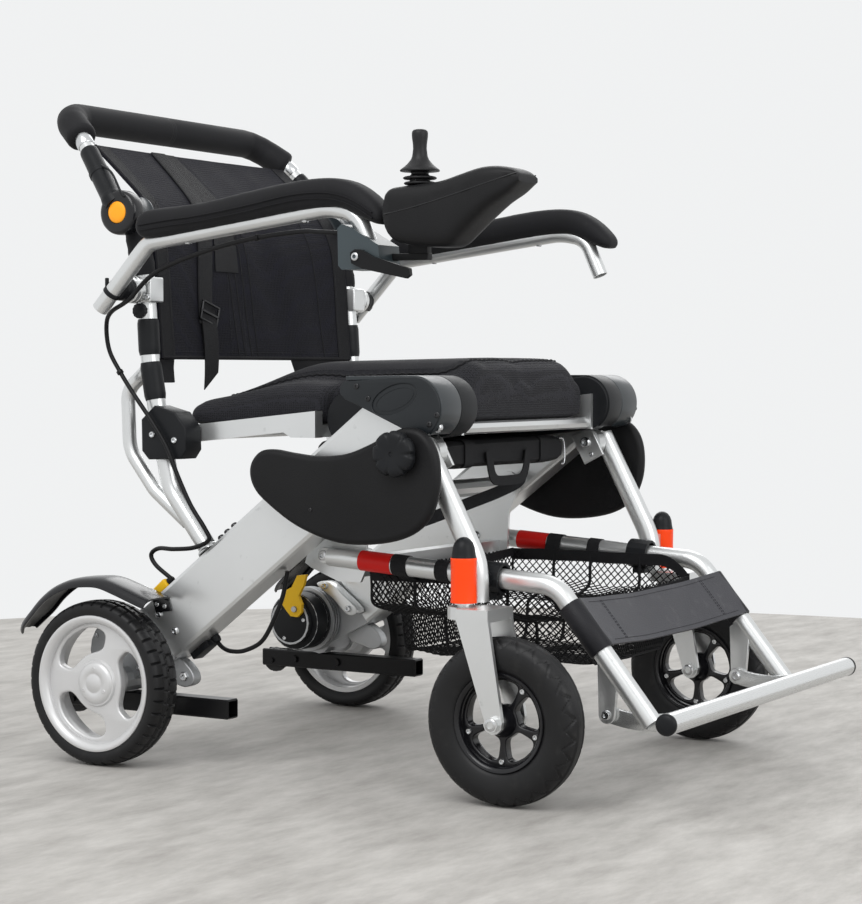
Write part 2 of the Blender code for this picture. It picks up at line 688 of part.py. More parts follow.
def make_motor_cable():
    """Cable that hangs from the gearbox to the frame's cross member on the right."""
    route = [(-0.2350, 0.250, 0.1330), (-0.2350, 0.238, 0.1280), (-0.2352, 0.2197, 0.1400),
             (-0.2350, 0.195, 0.1500), (-0.2350, 0.166, 0.1540), (-0.2350, 0.140, 0.1680),
             (-0.2350, 0.122, 0.1950), (-0.2350, 0.106, 0.2300), (-0.2350, 0.098, 0.2630)]
    lower_face = on_tube(0.0, -TUBE_TOP)
    end = route[-1]
    top = lower_face[1] - (end[1] - lower_face[0]) * math.tan(TUBE_SLOPE) - 0.0032 / math.cos(TUBE_SLOPE)
    route[-1] = (end[0], end[1], top)
    part("motor_cable", tube(smooth_path(route, 0.014), 0.003, 8), RUBBER, "chassis")


# Rear wheels

def make_rear_wheels():
    """Tyre with tread blocks and moulded rim with three broad spokes, the same on both sides."""
    half = REAR_WIDTH / 2
    bead = REAR_RIM_RADIUS - 0.004
    tread = REAR_RADIUS
    outer = [(bead, half - 0.0045), (REAR_RIM_RADIUS + 0.001, half - 0.003), (tread - 0.010, half),
             (tread - 0.003, half - 0.006)]
    ring_profile = outer + [(tread, 0.0)] + [(radius, -height) for radius, height in reversed(outer)]
    frame = outward_frame(-1, REAR_TRACK, REAR_AXLE)
    tyre = turned(ring_profile, frame, WHEEL_STEPS, ring=True)
    first = part("rear_tyre_right", tyre, RUBBER, "rear_wheel_right")
    twin("rear_tyre_left", first, "rear_wheel_left")
    seat = bead - GAP
    edge = half - 0.0045 - GAP
    barrel = [(REAR_RIM_RADIUS, half - 0.0022), (seat, half - 0.0028), (seat, -edge), (seat - 0.007, -edge),
              (seat - 0.007, half - 0.0008), (REAR_RIM_RADIUS, half - 0.0008)]
    rim = turned(barrel, frame, WHEEL_STEPS, ring=True)
    windows = [window(0.041, 0.0735, 60 + 120 * step, 43, 10) for step in range(3)]
    placed = [[(REAR_AXLE[0] + across, REAR_AXLE[1] + up) for across, up in opening] for opening in windows]
    outline = circle(REAR_AXLE, seat - 0.0040, WHEEL_STEPS)
    disc = side_plate([outline] + placed, -1, REAR_TRACK, REAR_TRACK + REAR_RIM_DEPTH)
    hub_profile = [(0.0, half - 0.002), (0.019, half - 0.003), (REAR_HUB_RADIUS, half - 0.007),
                   (REAR_HUB_RADIUS, 0.002), (0.022, -0.004), (0.022, -half), (0.0, -half)]
    hub = turned(hub_profile, frame, 14)
    bore = cross_rod(REAR_AXLE, -1, WHEEL_INNER_FACE - 0.01, WHEEL_INNER_FACE + REAR_SHAFT_REACH + 0.0005,
                     REAR_SHAFT_RADIUS + RUNNING)
    wheel = cut(unite(rim, disc, hub), bore)
    first = part("rear_rim_right", wheel, RIM_SILVER, "rear_wheel_right")
    twin("rear_rim_left", first, "rear_wheel_left", math.pi)


def window(inner, outer, middle, half_angle, count):
    """The outline of a rounded opening between two spokes, about the wheel's axis, in degrees."""
    points = []
    centre = (inner + outer) / 2
    reach = (outer - inner) / 2
    for step in range(count):
        angle = math.tau * step / count
        sweep = math.copysign(abs(math.cos(angle)) ** 0.7, math.cos(angle)) * half_angle
        radius = centre + math.copysign(abs(math.sin(angle)) ** 0.7, math.sin(angle)) * reach
        turn = math.radians(middle + sweep)
        points.append((radius * math.cos(turn), radius * math.sin(turn)))
    return points


# Front legs and casters

def make_front_leg(name, side):
    """Bent leg tube with its pivot eye at the top and the caster's bearing housing at the foot."""
    path = rounded(in_plane(side * LEG_TRACK, [LEG_TOP, LEG_BEND, (LEG_BEND[0], LEG_FOOT)]), 0.09, 2)
    leg = tube(path, LEG_RADIUS)
    eye = cross_rod(LEG_PIVOT, side, LEG_TRACK - LEG_RADIUS, LEG_TRACK + LEG_RADIUS, 0.0155)
    bore = cross_rod(LEG_PIVOT, side, LEG_TRACK - 0.03, LEG_TRACK + 0.03, PIVOT_BOLT_RADIUS + RUNNING)
    housing = turned([(0.0, HOUSING_TOP), (HOUSING_RADIUS, HOUSING_TOP), (HOUSING_RADIUS, HOUSING_FOOT),
                      (0.0, HOUSING_FOOT)], upward_frame(side * SWIVEL_TRACK, SWIVEL[0]), STEM_STEPS)
    web = block((side * LEG_TRACK, SWIVEL[0] - WEB_HALF, HOUSING_FOOT + 0.004),
                (side * SWIVEL_TRACK, SWIVEL[0] + WEB_HALF, WEB_TOP))
    seat = turned([(0.0, STEM_TOP + 0.001), (STEM_RADIUS + RUNNING, STEM_TOP + 0.001),
                   (STEM_RADIUS + RUNNING, HOUSING_FOOT - 0.01), (0.0, HOUSING_FOOT - 0.01)],
                  upward_frame(side * SWIVEL_TRACK, SWIVEL[0]), STEM_STEPS)
    shape = cut(unite(leg, eye, housing, web), bore, seat)
    part("front_leg_" + name, shape, SILVER, "front_leg_" + name)


WEB_HALF = 0.005
WEB_TOP = 0.292


def make_stem_cover(name, side):
    """Orange sleeve and domed cap over the caster's bearing housing, slotted for the web."""
    dome = [(0.0, 0.323), (0.008, 0.320), (0.0130, 0.311)]
    shell = dome + [(COVER_RADIUS, 0.2975), (COVER_RADIUS, HOUSING_FOOT + 0.002),
                    (HOUSING_RADIUS + GAP, HOUSING_FOOT + 0.002), (HOUSING_RADIUS + GAP, HOUSING_TOP + GAP),
                    (0.0, HOUSING_TOP + GAP)]
    cover = turned(shell, upward_frame(side * SWIVEL_TRACK, SWIVEL[0]), STEM_STEPS)
    slot = block((side * (SWIVEL_TRACK - 0.03), SWIVEL[0] - WEB_HALF - GAP, HOUSING_FOOT - 0.01),
                 (side * (SWIVEL_TRACK - 0.008), SWIVEL[0] + WEB_HALF + GAP, WEB_TOP + GAP))
    part("stem_cover_" + name, cut(cover, slot), SLEEVE_ORANGE, "front_leg_" + name)


def make_caster_forks():
    """Fork with a crown plate, two tapering legs, the swivel stem and the wheel's axle."""
    side = -1
    crown_low = SWIVEL[1] - 0.015
    half = FORK_INNER + FORK_PLATE
    plan = [(-half, -0.247), (half, -0.247), (half, -0.203)]
    plan += arc((0.0, SWIVEL[0] + 0.002), 0.018, -10, 190, 6) + [(-half, -0.203)]
    placed = [(x + side * SWIVEL_TRACK, y) for x, y in plan]
    crown = level_plate([placed], crown_low, SWIVEL[1])
    leg_outline = [(-0.2015, crown_low + 0.006), (-0.2425, 0.1060)] + arc(CASTER_AXLE, 0.0125, -10, -190, 5)
    leg_outline += [(-0.2665, 0.1055), (-0.2465, crown_low + 0.006)]
    legs = []
    for offset in (-1, 1):
        near = SWIVEL_TRACK + offset * FORK_INNER
        far = SWIVEL_TRACK + offset * (FORK_INNER + FORK_PLATE - 0.0003)
        legs.append(side_plate([leg_outline], side, min(near, far), max(near, far)))
    axle = cross_rod(CASTER_AXLE, side, SWIVEL_TRACK - half - 0.003, SWIVEL_TRACK + half + 0.003,
                     CASTER_SHAFT_RADIUS, 12)
    nuts = []
    for offset in (-1, 1):
        start = SWIVEL_TRACK + offset * (half - 0.001)
        nuts.append(cross_rod(CASTER_AXLE, side, start, start + offset * 0.007, 0.0095, 8))
    stem = turned([(0.0, STEM_TOP), (STEM_RADIUS, STEM_TOP), (STEM_RADIUS, crown_low + 0.004),
                   (0.0, crown_low + 0.004)], upward_frame(side * SWIVEL_TRACK, SWIVEL[0]), STEM_STEPS)
    fork = unite(crown, *legs, axle, *nuts, stem)
    first = part("caster_fork_right", fork, SILVER, "caster_fork_right")
    twin("caster_fork_left", first, "caster_fork_left")


def make_caster_wheels():
    """Air tyre on a black rim with five spokes."""
    half = CASTER_WIDTH / 2
    bead = CASTER_BEAD_RADIUS
    top = CASTER_RADIUS
    outer = [(bead, half - 0.006), (bead + 0.012, half), (top - 0.014, half - 0.0015),
             (top - 0.004, half - 0.009)]
    ring_profile = outer + [(top, 0.0)] + [(radius, -height) for radius, height in reversed(outer)]
    frame = outward_frame(-1, SWIVEL_TRACK, CASTER_AXLE)
    tyre = turned(ring_profile, frame, CASTER_STEPS, ring=True)
    first = part("caster_tyre_right", tyre, RUBBER, "caster_wheel_right")
    twin("caster_tyre_left", first, "caster_wheel_left")
    seat = bead - GAP
    barrel = [(seat, 0.0195), (seat - 0.006, 0.0190), (seat - 0.006, -0.0190), (seat, -0.0195)]
    rim = turned(barrel, frame, CASTER_STEPS, ring=True)
    windows = [window(0.0235, 0.0475, 90 + 72 * step, 24, 8) for step in range(5)]
    placed = [[(CASTER_AXLE[0] + across, CASTER_AXLE[1] + up) for across, up in opening]
              for opening in windows]
    outline = circle(CASTER_AXLE, seat - 0.0030, CASTER_STEPS)
    web = side_plate([outline] + placed, -1, SWIVEL_TRACK - CASTER_WEB / 2, SWIVEL_TRACK + CASTER_WEB / 2)
    hub_reach = FORK_INNER - GAP
    hub_profile = [(0.0, hub_reach), (0.013, hub_reach), (0.018, 0.006), (0.018, -0.006), (0.013, -hub_reach),
                   (0.0, -hub_reach)]
    hub = turned(hub_profile, frame, 12)
    bore = cross_rod(CASTER_AXLE, -1, SWIVEL_TRACK - 0.04, SWIVEL_TRACK + 0.04, CASTER_SHAFT_RADIUS + RUNNING)
    wheel = cut(unite(rim, web, hub), bore)
    first = part("caster_rim_right", wheel, BLACK, "caster_wheel_right")
    twin("caster_rim_left", first, "caster_wheel_left")


# Footrest, strap and basket

def footrest_direction():
    """The straight stretch's direction, from the bend towards the pivot."""
    along = Vector(FOOTREST_PIVOT) - Vector(FOOTREST_BEND)
    return along.normalized()


CLAMP_PLAY = 0.0035
CLAMP_CLEARANCE = 0.0006


def make_leg_clamp(name, side):
    """Clamp that slides along the footrest tube and meets the front leg."""
    direction = footrest_direction()
    axis = Vector((0.0, direction.x, direction.y))
    middle = Vector((side * FOOTREST_TRACK, *CLAMP_PLACE))
    ring = tube([middle - axis * 0.015, middle + axis * 0.015], 0.0200, 14)
    ear = cross_rod(CLAMP_PLACE, side, FOOTREST_TRACK + 0.015, LEG_TRACK - LEG_RADIUS - GAP, 0.0095)
    key = block((side * (FOOTREST_TRACK - 0.008), CLAMP_PLACE[0] - 0.009, CLAMP_PLACE[1] - 0.027),
                (side * (FOOTREST_TRACK + 0.008), CLAMP_PLACE[0] + 0.009, CLAMP_PLACE[1] - 0.010))
    slot = arc((0.0, CLAMP_PLAY), FOOTREST_RADIUS + CLAMP_CLEARANCE, 0, 180, 7)
    slot += arc((0.0, -CLAMP_PLAY), FOOTREST_RADIUS + CLAMP_CLEARANCE, 180, 360, 7)
    frame = Matrix(((1, 0, 0, middle.x), (0, -axis.z, axis.y, middle.y), (0, axis.y, axis.z, middle.z),
                    (0, 0, 0, 1)))
    bore = extruded([slot], frame, 0.04)
    part("leg_clamp_" + name, cut(unite(ring, ear, key), bore), BLACK, "leg_clamp_" + name)


TAB_INNER = FOOTREST_TRACK - FOOTREST_RADIUS
TAB_OUTER = TAB_INNER + 0.006


def make_footrest_tube(name, side):
    """Footrest tube with its pivot eye at the rear and the foot bar's tab at the front."""
    start = Vector(FOOTREST_PIVOT) - footrest_direction() * 0.011
    path = rounded(in_plane(side * FOOTREST_TRACK, [tuple(start), FOOTREST_BEND, FOOTREST_END]), 0.045, 2)
    rail = tube(path, FOOTREST_RADIUS)
    eye_outer = TUBE_INNER - GAP
    eye_inner = GUSSET_INNER + GUSSET_THICKNESS + GAP
    backward = footrest_direction()
    slant = math.degrees(math.atan2(backward.y, backward.x))
    front = Vector(FOOTREST_PIVOT) - backward * 0.032
    outline = arc(FOOTREST_PIVOT, 0.0105, slant - 90, slant + 90, 6)
    outline += arc(tuple(front), 0.0105, slant + 90, slant + 270, 4)
    eye = side_plate([outline], side, eye_inner, eye_outer)
    bore = cross_rod(FOOTREST_PIVOT, side, eye_inner - 0.01, eye_outer + 0.01,
                     PIVOT_BOLT_RADIUS + RUNNING, 10)
    tab_outline = [(-0.337, 0.1735), (-0.3495, 0.1840), (-0.366, 0.1625)]
    tab_outline += arc(FOOT_BAR_PIVOT, 0.011, 190, 350, 6)
    tab = side_plate([tab_outline], side, TAB_INNER + 0.0004, TAB_OUTER)
    pin_bore = cross_rod(FOOT_BAR_PIVOT, side, TAB_INNER - 0.01, TAB_OUTER + 0.01,
                         0.004 + RUNNING + 0.0001, 8)
    shape = cut(unite(rail, eye, tab), bore, pin_bore)
    part("footrest_tube_" + name, shape, SILVER, "footrest")


STRAP_TOP = (-0.304, 0.2386)
STRAP_FOOT = (-0.3475, 0.1852)


def make_calf_strap():
    """Leatherette calf strap, a sling between the footrest tubes with a sleeve round each."""
    thickness = 0.003
    sag = 0.014
    top = Vector(STRAP_TOP)
    foot = Vector(STRAP_FOOT)
    down = (foot - top).normalized()
    front = Vector((down.y, -down.x))
    offset = FOOTREST_RADIUS + GAP + thickness / 2
    bm = bmesh.new()
    columns = 6
    rows = 2
    grid = []
    for column in range(columns + 1):
        across = -1 + 2 * column / columns
        strip = []
        for row in range(rows + 1):
            spot = top.lerp(foot, row / rows) + front * (offset - sag * (1 - across * across))
            strip.append(bm.verts.new((across * FOOTREST_TRACK, spot.x, spot.y)))
        grid.append(strip)
    for column in range(columns):
        for row in range(rows):
            near = grid[column]
            far = grid[column + 1]
            bm.faces.new((near[row], far[row], far[row + 1], near[row + 1]))
    sheet = link_mesh(bm)
    shell = sheet.modifiers.new("thickness", "SOLIDIFY")
    shell.thickness = thickness
    shell.offset = 0.0
    strap = settle(sheet)
    sleeves = []
    for side in SIDES.values():
        frame = strap_frame(side)
        length = (foot - top).length
        rings = [circle((0.0, 0.0), FOOTREST_RADIUS + GAP + thickness, 16),
                 circle((0.0, 0.0), (FOOTREST_RADIUS + GAP) / math.cos(math.pi / 16), 16)]
        sleeves.append(extruded(rings, frame, length / 2 + 0.0005))
    part("calf_strap", unite(strap, *sleeves), LEATHERETTE, "footrest")


def strap_frame(side):
    """A frame at the middle of the strap on a footrest tube, with Z along the tube."""
    middle = (Vector(STRAP_TOP) + Vector(STRAP_FOOT)) / 2
    down = (Vector(STRAP_FOOT) - Vector(STRAP_TOP)).normalized()
    return Matrix(((1, 0, 0, side * FOOTREST_TRACK), (0, down.y, down.x, middle.x),
                   (0, -down.x, down.y, middle.y), (0, 0, 0, 1)))


BASKET_REAR = -0.004
BASKET_FRONT = -0.280
BASKET_WALL = 0.0025


def make_storage_basket():
    """Net basket slung between the footrest tubes, open at the top, narrow where the casters swing."""
    outer = [(-0.1935, 0.268), (-0.189, 0.222), (-0.118, 0.206), (-0.108, 0.160), (-0.098, 0.152)]
    outer += [(-x, z) for x, z in reversed(outer)]
    inner = [(-0.1910, 0.30), (-0.1865, 0.2245), (-0.1158, 0.2085), (-0.1055, 0.1618), (-0.0968, 0.1545)]
    inner += [(-x, z) for x, z in reversed(inner)]
    frame = Matrix(((1, 0, 0, 0), (0, 0, 1, (BASKET_REAR + BASKET_FRONT) / 2), (0, 1, 0, 0), (0, 0, 0, 1)))
    length = BASKET_REAR - BASKET_FRONT
    bag = extruded([outer], frame, length / 2)
    space = extruded([inner], frame, length / 2 - BASKET_WALL)
    bag = cut(bag, space)
    loops = []
    reach = FOOTREST_TRACK - FOOTREST_RADIUS - GAP
    for side in SIDES.values():
        for start, end in ((-0.028, BASKET_REAR - 0.002), (BASKET_FRONT + 0.002, -0.252)):
            loops.append(block((side * 0.1922, start, 0.255), (side * reach, end, 0.283)))
    part("storage_basket", unite(bag, *loops), FABRIC, "footrest")


def make_foot_bar():
    """Foot bar with a curved plate at each end of its hinge."""
    bar = cross_rod(FOOT_BAR, 1, -FOOT_BAR_HALF, FOOT_BAR_HALF, FOOT_BAR_RADIUS)
    start = Vector(FOOT_BAR_PIVOT)
    end = Vector(FOOT_BAR)
    middle = Vector((-0.408, 0.0905))
    edge_half = 0.0105
    path = [start.lerp(middle, t / 4).lerp(middle.lerp(end, t / 4), t / 4) for t in range(5)]
    upper = []
    lower = []
    for index, spot in enumerate(path):
        along = (path[min(index + 1, 4)] - path[max(index - 1, 0)]).normalized()
        normal = Vector((along.y, -along.x))
        upper.append(tuple(spot + normal * edge_half))
        lower.append(tuple(spot - normal * edge_half))
    pieces = []
    plate_inner = TAB_INNER - 0.0058
    plate_outer = TAB_INNER - GAP
    for side in SIDES.values():
        pieces.append(side_plate([upper + lower[::-1]], side, plate_inner, plate_outer))
        pieces.append(cross_rod(FOOT_BAR_PIVOT, side, plate_inner + 0.0003, plate_outer - 0.0002, 0.0112))
        pieces.append(cross_rod(FOOT_BAR_PIVOT, side, plate_inner + 0.001, TAB_OUTER + 0.001, 0.004, 8))
    part("foot_bar", unite(bar, *pieces), SILVER, "foot_bar")


# Seat

def rail_height(y):
    """Height of the seat rail's centre line."""
    return 0.4569 + (0.1015 - y) * 0.103


SEAT_TUBES = ((-0.1245, 0.4515, 0.008), (0.060, 0.4450, 0.010), (0.245, 0.4425, 0.010))


def make_seat_frame():
    """Seat frame: two rails, the thin front arms that turn on the hinge pins and three cross tubes."""
    half = RAIL_HEIGHT / 2
    pieces = []
    arm_outer = ARM_INNER + ARM_THICKNESS
    arm = [(-0.135, rail_height(-0.135) + half), (0.046, rail_height(0.046) + half), (0.052, 0.4553),
           (0.100, 0.4553), (0.100, 0.4380), (0.050, 0.4380), (0.040, rail_height(0.040) - half),
           (-0.088, rail_height(-0.088) - half), (-0.108, 0.443), (-0.135, 0.443)]
    rear = BACK_PIVOT[0] - 0.008
    rail = [(0.058, 0.4380), (0.096, 0.4380), (0.108, rail_height(0.108) - half),
            (rear, rail_height(rear) - half), (rear, rail_height(rear) + half),
            (0.058, rail_height(0.058) + half)]
    for side in SIDES.values():
        pieces.append(side_plate([arm], side, ARM_INNER, arm_outer))
        pieces.append(side_plate([rail], side, RAIL_INNER, RAIL_OUTER - GAP))
        pieces.append(block((side * (ARM_INNER + 0.001), 0.0585, 0.4385),
                            (side * (RAIL_INNER + 0.004), 0.0985, 0.4548)))
        pieces.append(cross_rod(BACK_PIVOT, side, RAIL_INNER + GAP, RAIL_OUTER, 0.0165))
        pieces.append(cross_rod(BACK_PIVOT, side, RAIL_INNER + 0.002,
                                POST_TRACK + POST_RADIUS + 0.004, 0.0045))
        pieces.append(cross_rod(SEAT_PIVOT, side, ARM_INNER + 0.001, arm_outer + 0.011, SEAT_PIN_RADIUS))
    cross_tubes = []
    for (y, z, radius), reach in zip(SEAT_TUBES, (arm_outer - 0.002, arm_outer - 0.002, RAIL_OUTER - 0.004)):
        cross_tubes.append(cross_rod((y, z), 1, -reach, reach, radius, 8))
    part("seat_frame", unite(cross_tubes[0], *pieces, *cross_tubes[1:]), SILVER, "seat")


def cushion_bottom(y):
    """Height of the cushion's underside, which rests on the cross tubes."""
    front_y, front_z, front_radius = SEAT_TUBES[0]
    rear_y, rear_z, rear_radius = SEAT_TUBES[2]
    front = front_z + front_radius + GAP
    rear = rear_z + rear_radius + GAP
    return front + (rear - front) * (y - front_y) / (rear_y - front_y)


def smooth_step(low, high, value):
    share = min(max((value - low) / (high - low), 0.0), 1.0)
    return share * share * (3 - 2 * share)


def make_seat_cushion():
    """Seat cushion: raised, crowned middle, lower side strips, thin rear edge and narrow nose."""
    bm = bmesh.new()
    bmesh.ops.create_cube(bm, size=2.0)
    for axis, cuts in ((0, 9), (1, len(CUSHION_ROWS) - 2), (2, 1)):
        lines = [edge for edge in bm.edges if abs((edge.verts[0].co - edge.verts[1].co)[axis]) > 0.5]
        bmesh.ops.subdivide_edges(bm, edges=lines, cuts=cuts)
    for vert in bm.verts:
        across, along, up = vert.co
        edge = max(abs(across), abs(along))
        y = CUSHION_ROWS[round((along + 1) / 2 * (len(CUSHION_ROWS) - 1))]
        wide = 1.0 if y > CUSHION_SHOULDER else 0.0
        half = CUSHION_NOSE_HALF + (CUSHION_HALF - CUSHION_NOSE_HALF) * wide
        round_corner = 1 - 0.05 * max(abs(along) - 0.8, 0.0) / 0.2 * abs(across) ** 4
        x = across * half * round_corner
        bottom = cushion_bottom(y)
        middle = smooth_step(0.172, 0.118, abs(x))
        back = smooth_step(0.285, 0.10, y)
        side_top = bottom + 0.030 + 0.022 * back
        crown = side_top + middle * (0.006 + 0.022 * back) * (1 - 0.10 * (x / 0.15) ** 2)
        rim = (1 - edge) if up > 0 else 0.0
        drop = 0.010 * (1 - min(rim / 0.18, 1.0)) ** 2
        top = crown - drop
        share = (up + 1) / 2
        z = bottom + (top - bottom) * share
        if edge > 0.999:
            drawn_in = CUSHION_DRAW - 0.003 * math.sin(math.pi * share)
            x *= 1 - drawn_in / half
            if abs(along) > 0.999:
                y -= math.copysign(drawn_in, along)
        vert.co = (x, y, z)
    bmesh.ops.recalc_face_normals(bm, faces=bm.faces)
    part("seat_cushion", link_mesh(bm), FABRIC, "seat")


TRAY_HALF_WIDTH = 0.165
TRAY_HALF_LENGTH = 0.100
TRAY_FLOOR = 0.398


def make_seat_tray():
    """Shallow fabric pocket strapped below the seat's middle tube."""
    y, z, radius = SEAT_TUBES[1]
    top = z - radius - GAP
    tray = softened(block((-TRAY_HALF_WIDTH, -TRAY_HALF_LENGTH, TRAY_FLOOR),
                          (TRAY_HALF_WIDTH, TRAY_HALF_LENGTH, top)), 0.008, 2)
    part("seat_tray", tray, FABRIC, "seat")


# Backrest

def post_path():
    """Side view of the backrest post from its foot on the battery tube to the hub."""
    foot = on_tube(FOOT_ALONG, TUBE_TOP + GAP + 0.002)
    ankle = on_tube(FOOT_ALONG, TUBE_TOP + 0.042)
    return [foot, ankle, (0.2745, 0.3656), BACK_PIVOT, (0.3103, 0.5392), ARM_PIVOT_ON_POST, HUB]


ARM_PIVOT_ON_POST = (0.3155, ARM_PIVOT[1])


def make_back_post(name, side):
    """Backrest post with its foot, loop tube, knuckle, armrest clamp and the hub's inner eye."""
    path = rounded(in_plane(side * POST_TRACK, post_path()), [0.06, 0.06, 0.15, 0.3, 0.6], 1)
    post = tube(path, POST_RADIUS, 10)
    loop_places = [(0.3085, 0.5312), (0.3480, 0.4988), (0.3449, 0.4178), (0.3029, 0.3649), (0.2480, 0.3230)]
    loop = tube(rounded(in_plane(side * POST_TRACK, loop_places), [0.03, 0.05, 0.05], 2), LOOP_RADIUS, 8)
    foot_frame = tube_frame(side, POST_TRACK, FOOT_ALONG, TUBE_TOP + GAP + 0.003)
    pad = extruded([circle((0.0, 0.0), 0.016, 10)], foot_frame @ Matrix.Rotation(math.pi / 2, 4, "X"), 0.003)
    knuckle_outline = [(0.2380, 0.4200), (0.2470, 0.4080), (0.3000, 0.4065), (0.3110, 0.4180),
                       (0.3117, 0.4600), (0.2900, 0.4785), (0.2560, 0.4700), (0.2390, 0.4500)]
    knuckle = side_plate([knuckle_outline], side, RAIL_OUTER + GAP, POST_TRACK + 0.0185)
    bore = cross_rod(BACK_PIVOT, side, RAIL_OUTER - 0.01, POST_TRACK + POST_RADIUS + 0.005, 0.0045 + RUNNING)
    clamp = block((side * (POST_TRACK - 0.0122), ARM_PIVOT_ON_POST[0] - 0.020, ARM_PIVOT[1] - 0.017),
                  (side * (CLAMP_OUTER - 0.003), ARM_PIVOT_ON_POST[0] + 0.020, ARM_PIVOT[1] + 0.017))
    boss = cross_rod(ARM_PIVOT, side, POST_TRACK, CLAMP_OUTER, 0.0145)
    armrest_pin = cross_rod(ARM_PIVOT, side, POST_TRACK + 0.005, ARMREST_TRACK + 0.004, 0.005)
    knob = cross_rod((ARM_PIVOT_ON_POST[0] + 0.001, ARM_PIVOT[1] - 0.028), side, POST_TRACK,
                     POST_TRACK + 0.017, 0.0105, 8)
    eye = cross_rod(HUB, side, POST_TRACK - POST_RADIUS - 0.0015, HANDLE_HUB_INNER - GAP, 0.0235, 12)
    hub_pin = cross_rod(HUB, side, POST_TRACK, HANDLE_HUB_INNER + 0.006, 0.006)
    shape = unite(post, loop, pad, knuckle, clamp, boss, armrest_pin, knob, eye, hub_pin)
    part("back_post_" + name, cut(shape, bore), SILVER, "backrest")


CANVAS_SPINE = ((0.3020, 0.5420), (0.3070, 0.6000), (0.3110, 0.6600), (0.3180, 0.7100), (0.3360, 0.7520),
                (0.3760, 0.7920), (0.4220, 0.8330))


def make_back_canvas():
    """Backrest fabric stretched between the posts, following their bend at the top."""
    rows = smooth_path([(0.0, y, z) for y, z in CANVAS_SPINE], 0.032)
    columns = 8
    bm = bmesh.new()
    grid = []
    for spot in rows:
        strip = []
        above = smooth_step(0.700, 0.760, spot.z)
        half = (POST_TRACK - POST_RADIUS - GAP) * (1 - above) + (POST_TRACK - 0.021) * above
        for column in range(columns + 1):
            across = -1 + 2 * column / columns
            ripple = 0.0012 * math.sin(3 * math.pi * across) * smooth_step(0.85, 0.60, spot.z)
            sag = 0.009 * (1 - across ** 2) + ripple
            strip.append(bm.verts.new((across * half, spot.y + sag, spot.z)))
        grid.append(strip)
    for lower, upper in zip(grid, grid[1:]):
        for column in range(columns):
            bm.faces.new((lower[column], lower[column + 1], upper[column + 1], upper[column]))
    sheet = link_mesh(bm)
    shell = sheet.modifiers.new("thickness", "SOLIDIFY")
    shell.thickness = CANVAS_THICKNESS
    shell.offset = 0.0
    part("back_canvas", settle(sheet), FABRIC, "backrest")


HANDLE_TRACK = (HANDLE_HUB_INNER + HUB_OUTER) / 2
FOAM_END = (POST_TRACK - 0.003, 0.426, 0.841)


def make_push_handle():
    """Push handle: hub discs, bent arms and the foam grip across the top, turning on the hub pins."""
    end_x, end_y, end_z = FOAM_END
    bend_x = end_x - 0.024
    foam_route = [(-end_x, end_y, end_z), (-bend_x, 0.473, 0.875), (0.0, 0.4755, 0.8755),
                  (bend_x, 0.473, 0.875), (end_x, end_y, end_z)]
    foam = tube(rounded(foam_route, [0.05, 0.5, 0.05], 2), FOAM_RADIUS, 10)
    arms = []
    discs = []
    bores = []
    for side in SIDES.values():
        route = [(side * HANDLE_TRACK, *HUB), (side * HANDLE_TRACK, 0.3545, 0.7570),
                 (side * end_x, end_y, end_z), (side * (end_x - 0.010), 0.448, 0.859)]
        arms.append(tube(rounded(route, [0.02, 0.08], 1), HANDLE_RADIUS, 8))
        disc = cross_rod(HUB, side, HANDLE_HUB_INNER, HUB_OUTER, HUB_RADIUS, 16)
        discs.append(softened(disc, 0.003, 1, 50))
        bores.append(cross_rod(HUB, side, HUB_OUTER - 0.010, HUB_OUTER + 0.01, BUTTON_RADIUS + RUNNING, 16))
        bores.append(cross_rod(HUB, side, HANDLE_HUB_INNER - 0.02, HANDLE_HUB_INNER + 0.0065,
                               0.006 + RUNNING))
    part("push_handle", cut(unite(foam, *arms, *discs), *bores), FOAM, "push_handle")


def make_release_button(name, side):
    """Round orange button in the middle of the hub."""
    low = HUB_OUTER - 0.0055
    high = HUB_OUTER + 0.0022
    profile = [(0.0, high), (BUTTON_RADIUS - 0.002, high), (BUTTON_RADIUS, high - 0.002),
               (BUTTON_RADIUS, low), (0.0, low)]
    button = turned([(radius, height - HUB_OUTER) for radius, height in profile],
                    outward_frame(side, HUB_OUTER, HUB), 16)
    part("release_button_" + name, button, ORANGE, "release_button_" + name)


# Armrests

ARMREST_ROUTE = ((0.3300, 0.6200), (0.2620, 0.6920), (-0.0200, 0.7265), (-0.0600, 0.7180), (-0.0840, 0.6640))


def armrest_path(side):
    return rounded(in_plane(side * ARMREST_TRACK, ARMREST_ROUTE), [0.035, 0.10, 0.035], 2)


def make_armrest_tube(name, side):
    """Bent armrest tube with the barrel that turns on the post's clamp."""
    rail = tube(armrest_path(side), ARMREST_RADIUS, 10)
    inner = CLAMP_OUTER + GAP
    barrel = cross_rod(ARM_PIVOT, side, inner, ARMREST_TRACK + 0.012, 0.0155, 12)
    bore = cross_rod(ARM_PIVOT, side, inner - 0.02, ARMREST_TRACK + 0.0045, 0.005 + RUNNING)
    part("armrest_tube_" + name, cut(unite(rail, barrel), bore), SILVER, "armrest_" + name)


